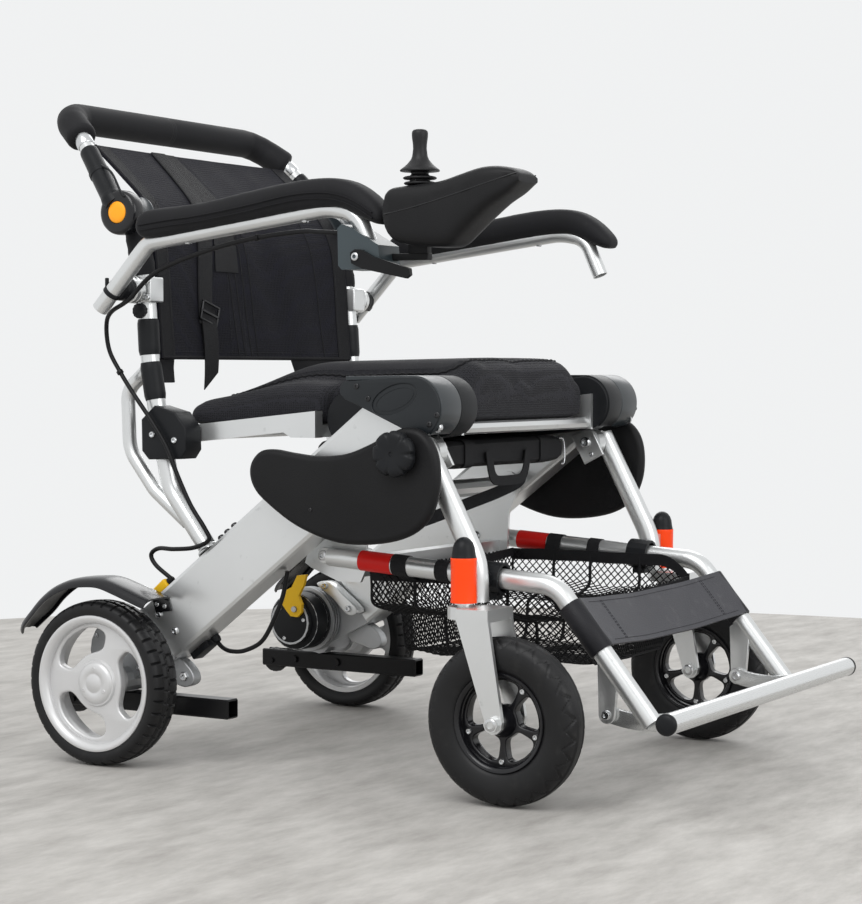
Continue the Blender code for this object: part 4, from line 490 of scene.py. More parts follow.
BRACKET = mm((262, 165), (290, 188), (312, 204), (330, 204.5), (334, 198), (306, 179), (286, 160), (272, 156))
LUG = mm((300, 136), (268, 140), (250, 129), (242.5, 117), (245, 107), (258, 102), (276, 106), (300, 115))
cast_pair("gearbox_brackets", smooth_line(BRACKET, count=3), inner=0.1920, outer=0.2120, round_by=0.0015,
          material=satin_silver)
cast_pair("tube_end_lugs", smooth_line(LUG, count=4), inner=0.2280, outer=0.2460, round_by=0.0020,
          material=rough_casting)
screws("bracket_bolts", 5.2, 4.0, both_sides(inward, 0.1918, mm((278, 166), (320, 198.5))), bright_steel,
       "chassis", steps=24)
screws("lug_bolts", 7.2, 5.0, both_sides(across, 0.2458, mm((257, 116.5), (278, 122))), bright_steel,
       "chassis", steps=6)
TUBE_DOWN = Vector((0.0, 0.78801, -0.61566))
TUBE_UP = Vector((0.0, 0.61566, 0.78801))
TUBE_TOP = Vector((0.0, -0.0262, 0.4190)) + 0.0424 * TUBE_UP
frames = [facing(Vector((side * 0.2560, 0, 0)) + TUBE_TOP + run * TUBE_DOWN, TUBE_UP)
          for side in SIDES.values() for run in (0.2120, 0.2260, 0.2390)]
screws("tube_top_screws", 4.8, 3.4, frames, dark_screw, "chassis", steps=20)

# Anti-tip arms
# Black enamelled square bars below the gearboxes, open in front and bolted on from the inside. Each is
# forked at its rear end, behind the wheels, round a small rubber roller on a pin.

black_enamel = finish("black_enamel", "black_plastic", coated_metal, (0.004, 0.004, 0.0045),
                      (0.009, 0.009, 0.010), (0.24, 0.38), bump=0.06)
paint(pair("antitip_arm"), black_enamel)
rubber, place, grain = shader_group("road_rubber", "Grain", 700.0)
masks(rubber, Height=noise(rubber, place, grain, 3.0), Tone=noise(rubber, place, 24.0, 5.0),
      Scuff=between(rubber, noise(rubber, place, 60.0, 6.0), 0.56, 0.78))
tyre_rubber = finish("tyre_rubber", "black_tyre", rubber, (0.006, 0.006, 0.0065), (0.013, 0.013, 0.014),
                     (0.36, 0.52), bump=0.25, over=("Scuff", 0.25, (0.035, 0.034, 0.032)),
                     Specular_IOR_Level=0.28)
paint(pair("antitip_roller"), tyre_rubber)

# Mudguards
# Glossy black guards over the rear wheels, pressed with a rounded crown and rolled outer edge. Each is
# screwed to a small bracket on the box tube.

gloss_black = finish("gloss_black", "black_plastic", moulded, (0.004, 0.004, 0.005), (0.008, 0.008, 0.010),
                     (0.16, 0.28), bump=0.05, Specular_IOR_Level=0.45)
GUARD_RIDGE = mm((479, 175.5), (470, 186), (456, 199), (437, 218), (414, 234), (388, 244), (360, 248),
                 (333, 247.8), (305, 240), (279, 231.2), (257, 224))
GUARD_SECTION = mm((279.5, -4), (280, -1), (285, 0), (295, 0.6), (305, 0.7), (316, 0.3), (324, -1.2), (329, -4),
                   (330.8, -8), (330.5, -9.5))


def skin_between(bm, rows, closed=True):
    """Faces between rows of vertices, and from each row's end to its start where the rows are closed."""
    for lower, upper in zip(rows, rows[1:]):
        for index in range(len(lower) if closed else len(lower) - 1):
            after = (index + 1) % len(lower)
            bm.faces.new((lower[index], lower[after], upper[after], upper[index]))


def lofted(sections, thickness=0.0, offset=0.0, closed=False):
    """A surface through rows of points, given a wall where it has a thickness."""
    bm = bmesh.new()
    skin_between(bm, [[bm.verts.new(point) for point in row] for row in sections], closed)
    shape = placed("loft", made(bm))
    if thickness:
        wall = shape.modifiers.new("wall", "SOLIDIFY")
        wall.thickness = thickness
        wall.offset = offset
    return as_mesh(shape)


def directions(line):
    """The direction of a line of points at each of them."""
    last = len(line) - 1
    return [(line[min(index + 1, last)] - line[max(index - 1, 0)]).normalized() for index in range(last + 1)]


ridge = smooth_line(GUARD_RIDGE, count=5, closed=False)
for name, side in SIDES.items():
    rows = []
    for index, (spot, along) in enumerate(zip(ridge, directions(ridge))):
        inside = Vector((along.y, -along.x))
        if inside.y > 0:
            inside = -inside
        narrow = 0.010 * max(0.0, 1.0 - index / 12) ** 2
        row = []
        for x, drop in GUARD_SECTION:
            point = spot - inside * drop
            row.append((side * (x + narrow * (1 if x < 0.305 else -1)), point.x, point.y))
        rows.append(row)
    link("mudguard_shell_" + name, lofted(rows, thickness=0.0026, offset=-side), gloss_black, "chassis", angle=50,
         instead_of="mudguard_" + name)
    tab = plate([mm((262, 206), (288, 202), (298, 233.5), (269, 224))], side, 0.2656, 0.2685, round_by=0.0008)
    shelf = plate([mm((270, 222.5), (298, 232), (296, 234.8), (268, 225.5))], side, 0.2662, 0.2880,
                  round_by=0.0008)
    link("mudguard_bracket_" + name, joined([tab, shelf]), gloss_black, "chassis")
frames = both_sides(across, 0.2685, mm((272.5, 212), (285, 214)))
frames += [facing((side * 0.2835, y, z), (0, -0.30, 0.95)) for side in SIDES.values()
           for y, z in mm((279, 231.8), (293, 236.6))]
screws("mudguard_screws", 3.4, 2.0, frames, bright_steel, "chassis", steps=20)

# Rear wheels
# Solid tyres with square tread blocks on moulded rims painted silver, with three broad spokes and
# a domed hub cap held by three screws.

REAR_AXLE = (0.348, 0.110)
REAR_TRACK = 0.305


def tyre(profile, placing, steps, relief):
    """A tyre turned about its axis, whose points sink by relief(turn, index) towards it."""
    bm = bmesh.new()
    rings = []
    for step in range(steps):
        turn = math.tau * step / steps
        ring = []
        for index, (radius, height) in enumerate(profile):
            sunk = radius - relief(step, index)
            ring.append(bm.verts.new(placing @ Vector((sunk * math.cos(turn), sunk * math.sin(turn), height))))
        rings.append(ring)
    skin_between(bm, rings + rings[:1])
    return made(bm, outward=True)


def mirrored(half):
    """A tyre's whole profile from its outer half."""
    return half + [(radius, -height) for radius, height in reversed(half)]


REAR_TYRE = mirrored(mm((87.5, 21.2), (90.5, 22.5), (93, 23.6), (96.5, 24.5), (100.5, 24.7), (103.5, 24),
                        (105.5, 22.6), (107, 20.8), (108.3, 18), (109.1, 14), (109.5, 10), (109.7, 6.6),
                        (109.9, 3), (109.9, 1)))
TREAD_PITCH = 8


def rear_tread(step, index):
    """Depth of the rear tread: cross grooves, set off from row to row, and a groove between the rows."""
    row = min(index, len(REAR_TYRE) - 1 - index)
    left = index < len(REAR_TYRE) / 2
    if row < 6:
        return 0.0
    if row == 11:
        return 0.0026
    if row > 11:
        return 0.0022 if (step + (2 if left else 6)) % TREAD_PITCH == 0 else 0.0
    return 0.0028 if (step + (0 if left else TREAD_PITCH // 2)) % TREAD_PITCH == 0 else 0.0


silver_rim = finish("silver_rim", "rim_silver", coated_metal, (0.60, 0.60, 0.60), (0.70, 0.70, 0.705),
                    (0.34, 0.46), metallic=0.45, bump=0.05)


def rounded(value, power):
    """A cosine or sine raised to a power, so that a circle becomes a rounded square."""
    return math.copysign(abs(value) ** power, value)


def spoke_window(centre, inner, outer, middle, half_angle, squareness, count):
    """A rounded opening between two spokes."""
    points = []
    for along, out in around((0.0, 0.0), 1.0, 0, 360 - 360 / count, count - 1):
        turn = math.radians(middle + rounded(along, squareness) * half_angle)
        radius = (inner + outer) / 2 + rounded(out, squareness) * (outer - inner) / 2
        points.append((centre[0] + radius * math.cos(turn), centre[1] + radius * math.sin(turn)))
    return points


RIM_LIP = mm((87.2, 20.8), (90, 21.6), (90.8, 22.8), (90.4, 24), (88.5, 24.6), (85.5, 24), (82.8, 22.2),
             (80, 19.6), (79, 15), (79, -18), (80, -20.6), (86.8, -20.6))
HUB_CAP = mm((0, 21.4), (10.5, 21.2), (11.8, 20.2), (14, 20.2), (15.2, 21), (23.5, 20), (26.8, 18.4),
             (27.8, 16.8), (30, 16.6), (32.2, 13), (33.5, 8), (34.5, 2), (30, 0.5), (23, -6), (22.5, -24.6),
             (9, -24.6), (8.6, -23), (8.6, 0), (0, 0))
for name, side in SIDES.items():
    axle = across(side, REAR_TRACK, *REAR_AXLE)
    body = "rear_wheel_" + name
    link("rear_tyre_tread_" + name, tyre(REAR_TYRE, axle, steps=TREAD_PITCH * 40, relief=rear_tread), tyre_rubber,
         body, angle=28, instead_of="rear_tyre_" + name)
    windows = [spoke_window(REAR_AXLE, inner=0.0400, outer=0.0745, middle=middle, half_angle=43, squareness=0.62,
                            count=48) for middle in (60, 180, 300)]
    if side > 0:
        windows = [[(2 * REAR_AXLE[0] - y, z) for y, z in window] for window in windows]
    disc = plate([around(REAR_AXLE, 0.0812, 0, 357, 119)] + windows, side, REAR_TRACK + 0.0005,
                 REAR_TRACK + 0.0135, round_by=0.0030, steps=4)
    rim = [disc, turned(RIM_LIP, axle, steps=96), turned(HUB_CAP, axle, steps=96)]
    link("rear_rim_cast_" + name, joined(rim), silver_rim, body, angle=45, instead_of="rear_rim_" + name)
    frames = [across(side, REAR_TRACK + 0.0196, *spot) for spot in around(REAR_AXLE, 0.0195, 90, 330, 2)]
    screws("hub_screws_" + name, 3.0, 1.4, frames, silver_rim, body, steps=20)

# Side guards and hand knobs
# Rounded black panels outside the frame, moulded with a soft grain. A lobed hand knob on the front
# leg's bolt clamps each one.

GUARD_EDGE = mm((115, 392), (112, 409), (98, 422.5), (76, 425), (48, 421.2), (10, 417.8), (-30, 421.2),
                (-64, 433), (-93, 446.8), (-118, 455.2), (-142, 450.5), (-159, 431), (-165.5, 402), (-162, 367),
                (-145.5, 336.5), (-112, 317), (-60, 308.2), (-10, 310.8), (45, 329), (90, 357), (108, 374))
GUARD_SEAT = (0.019, 0.350)
grained_panel = finish("grained_panel", "black_plastic", moulded, (0.005, 0.005, 0.0055), (0.010, 0.010, 0.011),
                       (0.40, 0.52), bump=0.35, depth=0.0004, grain=900.0, over=("Dust", 0.15, DUST))
for name, side in SIDES.items():
    panel = plate([smooth_line(GUARD_EDGE, count=5)], side, 0.2833, 0.3000, round_by=0.0078, steps=8)
    stud = turned(mm((0, 20), (8, 20), (8, 0.4), (0, 0.4)), across(side, 0.2652, *GUARD_SEAT), steps=24)
    link("side_guard_panel_" + name, joined([panel, stud]), grained_panel, "chassis", angle=60,
         instead_of="side_guard_" + name)
screws("guard_screws", 2.4, 1.2, both_sides(across, 0.3000, [GUARD_SEAT]), dark_screw, "chassis", steps=20)

LEG_PIVOT = (-0.112, 0.423)
KNOB = mm((0, 18.8), (2.6, 19), (3, 20), (10, 20.6), (18.5, 21.2), (23.5, 20.8), (26.8, 19.2), (28.4, 16.5),
          (28.8, 12), (28.2, 7.5), (26.2, 5), (22.5, 4), (22.2, 0.3), (0, 0.3))
for name, side in SIDES.items():
    knob = turned(KNOB, Matrix.Identity(4), steps=120)
    for vert in knob.vertices:
        reach = math.hypot(vert.co.x, vert.co.y)
        turn = math.atan2(vert.co.y, vert.co.x)
        lobe = max(0.0, math.cos(turn * 7)) ** 4 * max(0.0, (reach - 0.0180) / 0.0108)
        if vert.co.z > 0.0045:
            vert.co.xy *= 1 - 0.10 * lobe
            vert.co.z -= 0.0025 * lobe
    knob.transform(across(side, 0.3000, *LEG_PIVOT))
    link("guard_knob_grip_" + name, knob, black_moulding, "guard_knob_" + name, angle=60,
         instead_of="guard_knob_" + name)

# Front legs
# Bent silver tubes bolted to plates on the box tubes. Each has a bearing housing welded to its foot,
# with an orange sleeve over it and a black domed cap on top.


def bent(points, radii, steps=8):
    """A path whose corners are rounded, each by its own radius."""
    points = [Vector(point) for point in points]
    path = [points[0]]
    for before, corner, after, bend in zip(points, points[1:], points[2:], radii):
        arm_in = before - corner
        arm_out = after - corner
        half = arm_in.angle(arm_out) / 2
        reach = min(bend / math.tan(half), 0.48 * arm_in.length, 0.48 * arm_out.length)
        centre = corner + (arm_in.normalized() + arm_out.normalized()).normalized() * (reach / math.cos(half))
        start = corner + arm_in.normalized() * reach - centre
        end = corner + arm_out.normalized() * reach - centre
        path += [centre + start.slerp(end, step / steps) * start.length for step in range(steps + 1)]
    path.append(points[-1])
    return path


def pipe(path, radius, sides=28, bored=(False, False)):
    """A round tube along a path, with one radius or one for each point, bored out at its open ends."""
    path = [Vector(point) for point in path]
    radii = radius if isinstance(radius, list) else [radius] * len(path)
    bore, deep = 0.84, 0.012
    bm = bmesh.new()
    normal = (path[1] - path[0]).orthogonal().normalized()
    rings = []
    for index, (spot, along) in enumerate(zip(path, directions(path))):
        normal = (normal - along * normal.dot(along)).normalized()
        stops = [(0.0, 1.0)]
        if index == 0 and bored[0]:
            stops = [(deep, bore), (0.0, bore)] + stops
        if index == len(path) - 1 and bored[1]:
            stops += [(0.0, bore), (-deep, bore)]
        for shift, share in stops:
            ring = circle(spot + along * shift, normal, along.cross(normal), radii[index] * share, sides)
            rings.append([bm.verts.new(point) for point in ring])
    skin_between(bm, rings)
    bm.faces.new(rings[0][::-1])
    bm.faces.new(rings[-1])
    return made(bm)


def in_side_view(x, places):
    return [(x, y, z) for y, z in places]


def slab(low, high, bevel):
    """A rectangular block with rounded edges between two corners."""
    bm = bmesh.new()
    bmesh.ops.create_cube(bm, size=1.0)
    for vert in bm.verts:
        for axis in range(3):
            vert.co[axis] = (low[axis] + high[axis]) / 2 + vert.co[axis] * (high[axis] - low[axis])
    bmesh.ops.bevel(bm, geom=bm.edges, offset=bevel, segments=3, profile=0.5, affect="EDGES")
    return made(bm, outward=True)


def slab_at(middle, halves, bevel):
    """A rectangular block with rounded edges about its middle."""
    middle, halves = Vector(middle), Vector(halves)
    return slab(middle - halves, middle + halves, bevel=bevel)


LEG_TRACK = 0.2505
SWIVEL_TRACK = 0.287
SWIVEL_Y = -0.196
EYE = mm((0, 14), (13.5, 14), (15, 13), (15.5, 11.5), (15.5, -11.5), (15, -13), (13.5, -14), (0, -14))
SLEEVE = mm((13, 297.8), (15.8, 297.8), (16.2, 297), (16, 294), (15.8, 270), (16, 245.5), (16.3, 244), (16, 243),
            (13, 243))
CAP = mm((0, 323.2), (4, 322.6), (8.2, 320), (11.5, 315.8), (13.4, 310.5), (14.2, 304), (15, 299.5),
         (15.4, 298.2), (15.4, 297.6), (0, 297.6))
orange_moulding = finish("orange_moulding", "orange_sleeve", moulded, (0.90, 0.050, 0.003), (1.0, 0.075, 0.006),
                         (0.26, 0.38), bump=0.06)
for name, side in SIDES.items():
    body = "front_leg_" + name
    upright = Matrix.Translation((side * SWIVEL_TRACK, SWIVEL_Y, 0.0))
    route = in_side_view(side * LEG_TRACK, mm((-118.5, 433.5), (-195, 287), (-195, 241)))
    web = slab_at((side * (LEG_TRACK + SWIVEL_TRACK) / 2, SWIVEL_Y, 0.2685), (0.01825, 0.0048, 0.0233),
                  bevel=0.0012)
    housing = turned(mm((0, 299.8), (12.4, 299.8), (12.4, 241.2), (0, 241.2)), upright)
    leg = [pipe(bent(route, [0.09], steps=14), 0.0140, sides=32),
           turned(EYE, across(side, LEG_TRACK, *LEG_PIVOT), steps=36), web, housing]
    link("front_leg_tube_" + name, joined(leg), satin_silver, body, instead_of="front_leg_" + name)
    link("stem_sleeve_" + name, turned(SLEEVE, upright, steps=48), orange_moulding, body,
         instead_of="stem_cover_" + name)
    link("stem_cap_" + name, turned(CAP, upright, steps=48), black_moulding, body)
screws("leg_bolts", 7.5, 2.0, both_sides(across, 0.2829, [LEG_PIVOT]), bright_steel, "chassis")
leg_lean = Vector((-0.4629, -0.8864))
leg_square = Vector((0.8864, -0.4629))
corners = [Vector(LEG_PIVOT) + leg_lean * run + leg_square * reach
           for run, reach in ((-0.0175, -0.0165), (-0.0175, 0.0165), (0.0270, 0.0165), (0.0270, -0.0165))]
cast_pair("leg_lug_plates", corners, inner=0.2100, outer=0.2148, round_by=0.0010, material=satin_silver)
bolts = []
for radius, height, run in ((7.8, 5.0, 0.0), (3.4, 2.4, 0.0190)):
    frames = both_sides(inward, 0.2100, [Vector(LEG_PIVOT) + leg_lean * run])
    bolts.append(turned(cap_screw(radius, height), *frames, steps=28))
link("lug_plate_bolts", joined(bolts), bright_steel, "chassis")

# Caster forks and casters
# Flat silver forks with tapering legs. The casters have grooved air tyres on black rims cast with
# five spokes, each rim made of two halves that five bright bolts hold together.

paint(pair("caster_fork"), satin_silver)
CASTER_AXLE = (-0.254, 0.1028)
CASTER_TYRE = mirrored(mm((60, 16), (62.2, 18.6), (66, 20.6), (73, 22.4), (80, 23.4), (86, 23.2), (90.5, 22.2),
                          (93, 21.3), (95, 20.1), (96.8, 18.6), (98.3, 16.8), (99.6, 14.6), (100.6, 12),
                          (101.3, 9.6), (101.8, 7), (102.2, 4.6), (102.4, 1.6)))
ZIGZAG = (7, 8, 9, 10, 11, 12, 12, 11, 10, 9, 8, 7)


def caster_tread(step, index):
    """Depth of the caster's tread: a zigzag groove on each shoulder and two plain grooves on top."""
    row = min(index, len(CASTER_TYRE) - 1 - index)
    shift = 0 if index < len(CASTER_TYRE) / 2 else len(ZIGZAG) // 2
    if row == ZIGZAG[(step + shift) % len(ZIGZAG)]:
        return 0.0024
    return {14: 0.0018, 3: 0.0005}.get(row, 0.0)


CASTER_BARREL = mm((59.7, 15), (61.2, 18.6), (60.2, 20), (57.5, 19.6), (54.5, 17), (53.5, 12), (53.5, -12),
                   (54.5, -17), (57.5, -19.6), (60.2, -20), (61.2, -18.6), (59.7, -15))
CASTER_HUB = mm((0, 25.6), (11.2, 25.6), (12.8, 24.4), (15, 15), (18, 9), (19.2, 7), (19.2, -7), (18, -9),
                (15, -15), (12.8, -24.4), (11.2, -25.6), (0, -25.6))
for name, side in SIDES.items():
    axle = across(side, SWIVEL_TRACK, *CASTER_AXLE)
    body = "caster_wheel_" + name
    link("caster_tyre_tread_" + name, tyre(CASTER_TYRE, axle, steps=300, relief=caster_tread), tyre_rubber, body,
         angle=28, instead_of="caster_tyre_" + name)
    windows = [spoke_window(CASTER_AXLE, inner=0.0205, outer=0.0500, middle=90 + 72 * step, half_angle=28.5,
                            squareness=0.50, count=40) for step in range(5)]
    web = plate([around(CASTER_AXLE, 0.0550, 0, 356, 89)] + windows, side, SWIVEL_TRACK - 0.0078,
                SWIVEL_TRACK + 0.0078, round_by=0.0022, steps=4)
    rim = [web, turned(CASTER_BARREL, axle, steps=80), turned(CASTER_HUB, axle, steps=80)]
    link("caster_rim_cast_" + name, joined(rim), gloss_black, body, angle=45, instead_of="caster_rim_" + name)
    frames = []
    for spot in around(CASTER_AXLE, 0.0480, 54, 342, 4):
        frames += [across(side, SWIVEL_TRACK + 0.0078, *spot), inward(side, SWIVEL_TRACK - 0.0078, *spot)]
    screws("caster_bolts_" + name, 4.0, 3.0, frames, bright_steel, body, steps=20)
    frames = [across(side, SWIVEL_TRACK + 0.0350, *CASTER_AXLE),
              inward(side, SWIVEL_TRACK - 0.0350, *CASTER_AXLE)]
    screws("axle_bolts_" + name, 8.5, 4.2, frames, bright_steel, "caster_fork_" + name)

# Footrest tubes
# Two silver tubes hinged to the cross member. They run forward and bend down to the foot bar. The legs
# are clamped to them by black clamps, and red tape marks them near the hinge.

FOOTREST_TRACK = 0.214
FOOTREST_RADIUS = 0.0127
FOOTREST_PIVOT = Vector((0.056, 0.285))
FOOTREST_BEND = Vector((-0.285, 0.262))
FOOTREST_END = Vector((-0.415, 0.102))
FOOT_BAR_PIVOT = (-0.350, 0.107)
paint(pair("leg_clamp"), black_moulding)
red_tape = finish("red_tape", "orange_sleeve", moulded, (0.55, 0.010, 0.008), (0.70, 0.016, 0.012), (0.30, 0.42),
                  bump=0.08, grain=260.0)


def on_footrest(side, y):
    """A point on a footrest tube's straight stretch, by its distance along the chair."""
    share = (y - FOOTREST_PIVOT.x) / (FOOTREST_BEND.x - FOOTREST_PIVOT.x)
    return (side * FOOTREST_TRACK, y, FOOTREST_PIVOT.y + share * (FOOTREST_BEND.y - FOOTREST_PIVOT.y))


forward = (FOOTREST_BEND - FOOTREST_PIVOT).normalized()
SLANT = math.degrees(math.atan2(FOOTREST_PIVOT.y - FOOTREST_BEND.y, FOOTREST_PIVOT.x - FOOTREST_BEND.x))
TAB = mm((-337, 173.5), (-349.5, 184), (-366, 162.5)) + around(FOOT_BAR_PIVOT, 0.011, 190, 350, 16)
EAR = around(FOOTREST_PIVOT, 0.0105, SLANT - 90, SLANT + 90, 16)
EAR += around(FOOTREST_PIVOT + forward * 0.032, 0.0105, SLANT + 90, SLANT + 270, 16)
for name, side in SIDES.items():
    route = in_side_view(side * FOOTREST_TRACK, [FOOTREST_PIVOT + forward * 0.011, FOOTREST_BEND, FOOTREST_END])
    tube = pipe(bent(route, [0.045], steps=14), FOOTREST_RADIUS, sides=32, bored=(False, True))
    parts = [tube, plate([TAB], side, 0.2017, 0.2073, round_by=0.0010),
             plate([EAR], side, 0.1945, 0.2146, round_by=0.0012)]
    link("footrest_rail_" + name, joined(parts), satin_silver, "footrest", instead_of="footrest_tube_" + name)
    wrap = pipe([on_footrest(side, -0.004), on_footrest(side, -0.052)], FOOTREST_RADIUS + 0.0005, sides=32)
    link("red_tape_" + name, wrap, red_tape, "footrest")
frames = both_sides(across, 0.2146, [FOOTREST_PIVOT]) + both_sides(inward, 0.1889, [FOOTREST_PIVOT])
screws("footrest_bolts", 7.0, 3.4, frames, bright_steel, "chassis")

# Foot bar
# A bright round bar across the front with black end plugs, carried by two curved plates that fold up
# on pins at the footrest tubes' tabs.

brushed, place, fineness = shader_group("brushed_metal", "Fineness", 60.0)
grained = node_in(brushed, "Mapping", Vector=place, Scale=(0.5, 22.0, 22.0)).outputs["Vector"]
lines = noise(brushed, grained, fineness, 3.0)
masks(brushed, Height=lines, Tone=lines, Wear=between(brushed, noise(brushed, place, 9.0, 5.0), 0.58, 0.74))
brushed_bar = finish("brushed_bar", "satin_aluminium", brushed, (0.70, 0.71, 0.71), (0.78, 0.79, 0.79),
                     (0.24, 0.32), metallic=0.92, bump=0.05, over=("Wear", 0.4, (0.58, 0.58, 0.58)))
FOOT_BAR = Vector((-0.4708, 0.117))
CRESCENT_MIDDLE = Vector((-0.408, 0.0905))
spine = []
for step in range(17):
    share = step / 16
    low = Vector(FOOT_BAR_PIVOT).lerp(CRESCENT_MIDDLE, share)
    spine.append(low.lerp(CRESCENT_MIDDLE.lerp(FOOT_BAR, share), share))
asides = [Vector((along.y, -along.x)) * 0.0105 for along in directions(spine)]
crescent = [spot + aside for spot, aside in zip(spine, asides)]
crescent += [spot - aside for spot, aside in zip(spine[::-1], asides[::-1])]
parts = [pipe([(x, *FOOT_BAR) for x in (-0.2975, -0.15, 0.0, 0.15, 0.2975)], 0.0125, sides=40)]
for side in SIDES.values():
    parts.append(plate([crescent], side, 0.1955, 0.2010, round_by=0.0012))
    parts.append(plate([around(FOOT_BAR_PIVOT, 0.0112, 0, 350, 35)], side, 0.1958, 0.2008, round_by=0.0012))
link("foot_bar_tube", joined(parts), brushed_bar, "foot_bar", instead_of="foot_bar")
PLUG = mm((0, 303), (6, 302.8), (10, 301.8), (12.6, 300), (13.1, 298.2), (12.9, 295.2), (0, 295.2))
link("foot_bar_plugs", turned(PLUG, *both_sides(across, 0.0, [FOOT_BAR]), steps=40), black_moulding, "foot_bar")
frames = both_sides(inward, 0.1950, [FOOT_BAR_PIVOT]) + both_sides(across, 0.2078, [FOOT_BAR_PIVOT])
screws("foot_bar_bolts", 6.2, 3.6, frames, bright_steel, "foot_bar", steps=28)

# Calf strap
# A band of grey leatherette slung between the footrest tubes, hemmed along both edges, with a sewn
# sleeve round each tube.

leather, place, grain = shader_group("leather_grain", "Grain", 620.0)
masks(leather, Height=node_in(leather, "TexVoronoi", Vector=place, Scale=grain).outputs["Distance"],
      Tone=noise(leather, place, 30.0, 5.0), Wear=between(leather, noise(leather, place, 75.0, 4.0), 0.55, 0.75))
grey_leatherette = finish("grey_leatherette", "leatherette", leather, (0.034, 0.034, 0.040),
                          (0.062, 0.062, 0.070), (0.40, 0.56), bump=0.45, depth=0.0005,
                          over=("Wear", 0.3, (0.11, 0.11, 0.115)))
dark_leatherette = finish("dark_leatherette", "leatherette", leather, (0.008, 0.008, 0.010),
                          (0.018, 0.018, 0.021), (0.38, 0.54), bump=0.40, depth=0.0005)
dark_thread = finish("dark_thread", "mesh_fabric", leather, (0.016, 0.016, 0.019), (0.040, 0.040, 0.044),
                     (0.7, 0.8), bump=0.3, depth=0.0003, grain=2200.0)
STRAP_TOP = Vector((-0.304, 0.2386))
STRAP_FOOT = Vector((-0.3475, 0.1852))
STRAP_WALL = 0.0030
STRAP_SAG = 0.014
strap_length = (STRAP_FOOT - STRAP_TOP).length
strap_down = (STRAP_FOOT - STRAP_TOP).normalized()
strap_front = Vector((strap_down.y, -strap_down.x))


def on_strap(across_share, down_share, proud=0.0):
    """A point of the calf strap's middle layer, or off its face."""
    sag = STRAP_SAG * (1 - across_share ** 2)
    wrinkle = 0.0007 * math.sin(9 * across_share + 2.2 * down_share) * (1 - across_share ** 4)
    lift = FOOTREST_RADIUS + 0.0018 - sag + wrinkle + proud
    spot = STRAP_TOP.lerp(STRAP_FOOT, down_share) + strap_front * lift
    return Vector((across_share * FOOTREST_TRACK, spot.x, spot.y))


def grid_of(spot_at, columns, rows):
    """Spots of a cloth from edge to edge, and its area."""
    grid = [[spot_at(-1 + 2 * column / columns, row / rows) for column in range(columns + 1)]
            for row in range(rows + 1)]
    area = sum((here[column + 1] - here[column]).cross(follow[column] - here[column]).length
               for here, follow in zip(grid, grid[1:]) for column in range(columns))
    return grid, area


rows, strap_area = grid_of(on_strap, columns=96, rows=28)
strap = link("calf_strap_band", lofted(rows, thickness=STRAP_WALL), grey_leatherette, "footrest",
             instead_of="calf_strap")
LAP = strap_length * 1000
SLEEVE_WALL = mm((13.1, 0), (15.3, 0), (16.1, 1.2), (15.7, LAP / 2), (16.1, LAP - 0.4), (15.3, LAP + 0.8),
                 (13.1, LAP + 0.8))
places = [facing((side * FOOTREST_TRACK, *(STRAP_TOP - strap_down * 0.0004)), (0.0, *strap_down))
          for side in SIDES.values()]
sleeves = link("calf_strap_sleeves", turned(SLEEVE_WALL, *places, steps=40), dark_leatherette, "footrest")


def sewn_line(route, normal, pitch=0.0046, length=0.0032, width=0.0009):
    """Raised stitches at even steps along a route of points, each a small rounded bar."""
    bm = bmesh.new()
    left = pitch / 2
    for start, end in zip(route, route[1:]):
        span = (end - start).length
        while left < span:
            along = (end - start).normalized()
            rings = []
            for shift, swell in ((-0.5, 0.35), (-0.28, 1.0), (0.28, 1.0), (0.5, 0.35)):
                centre = start.lerp(end, left / span) + along * length * shift
                ring = circle(centre, along.cross(normal).normalized() * 0.5, normal.normalized() * 0.45,
                              width * swell, 6)
                rings.append([bm.verts.new(spot) for spot in ring])
            skin_between(bm, rings)
            bm.faces.new(rings[0][::-1])
            bm.faces.new(rings[-1])
            left += pitch
        left -= span
    return made(bm)


def seam_at(spot_at, steps, normal, **thread):
    """A sewn line through the spots at even shares of its length."""
    return sewn_line([spot_at(step / steps) for step in range(steps + 1)], Vector(normal), **thread)


PROUD = STRAP_WALL / 2 + 0.0002
strap_normal = (0.0, *strap_front)
seams = [seam_at(lambda share: on_strap(-0.90 + 1.80 * share, down, PROUD), steps=60, normal=strap_normal)
         for down in (0.09, 0.91)]
seams += [seam_at(lambda share: on_strap(place, 0.06 + 0.88 * share, PROUD), steps=20, normal=strap_normal)
          for place in (-0.72, -0.70, 0.70, 0.72)]
thread = link("calf_strap_seams", joined(seams), dark_thread, "footrest")

# Storage basket
# A bag of black diamond net with a webbing rim, hung from both footrest tubes by two webbing loops
# a side. It narrows towards the bottom, where the casters swing past it.

webbing, place, pitch = shader_group("woven_webbing", "Pitch", 420.0)
ribs = node_in(webbing, "TexWave", Vector=place, Scale=pitch, Distortion=0.6, Detail=1.0)
ribs.wave_type = "BANDS"
ribs.bands_direction = "DIAGONAL"
ribs = ribs.outputs["Fac"]
masks(webbing, Height=sum_of(webbing, ribs, noise(webbing, place, 1400.0, 1.0)),
      Tone=sum_of(webbing, sum_of(webbing, ribs, 0.4, "MULTIPLY"),
                  sum_of(webbing, noise(webbing, place, 60.0, 4.0), 0.6, "MULTIPLY")))
black_webbing = finish("black_webbing", "mesh_fabric", webbing, (0.006, 0.006, 0.007), (0.018, 0.018, 0.020),
                       (0.55, 0.70), bump=0.6, depth=0.0006)
net_cord = finish("net_cord", "mesh_fabric", webbing, (0.003, 0.003, 0.0035), (0.009, 0.009, 0.010),
                  (0.60, 0.75), bump=0.3, depth=0.0003, grain=900.0)
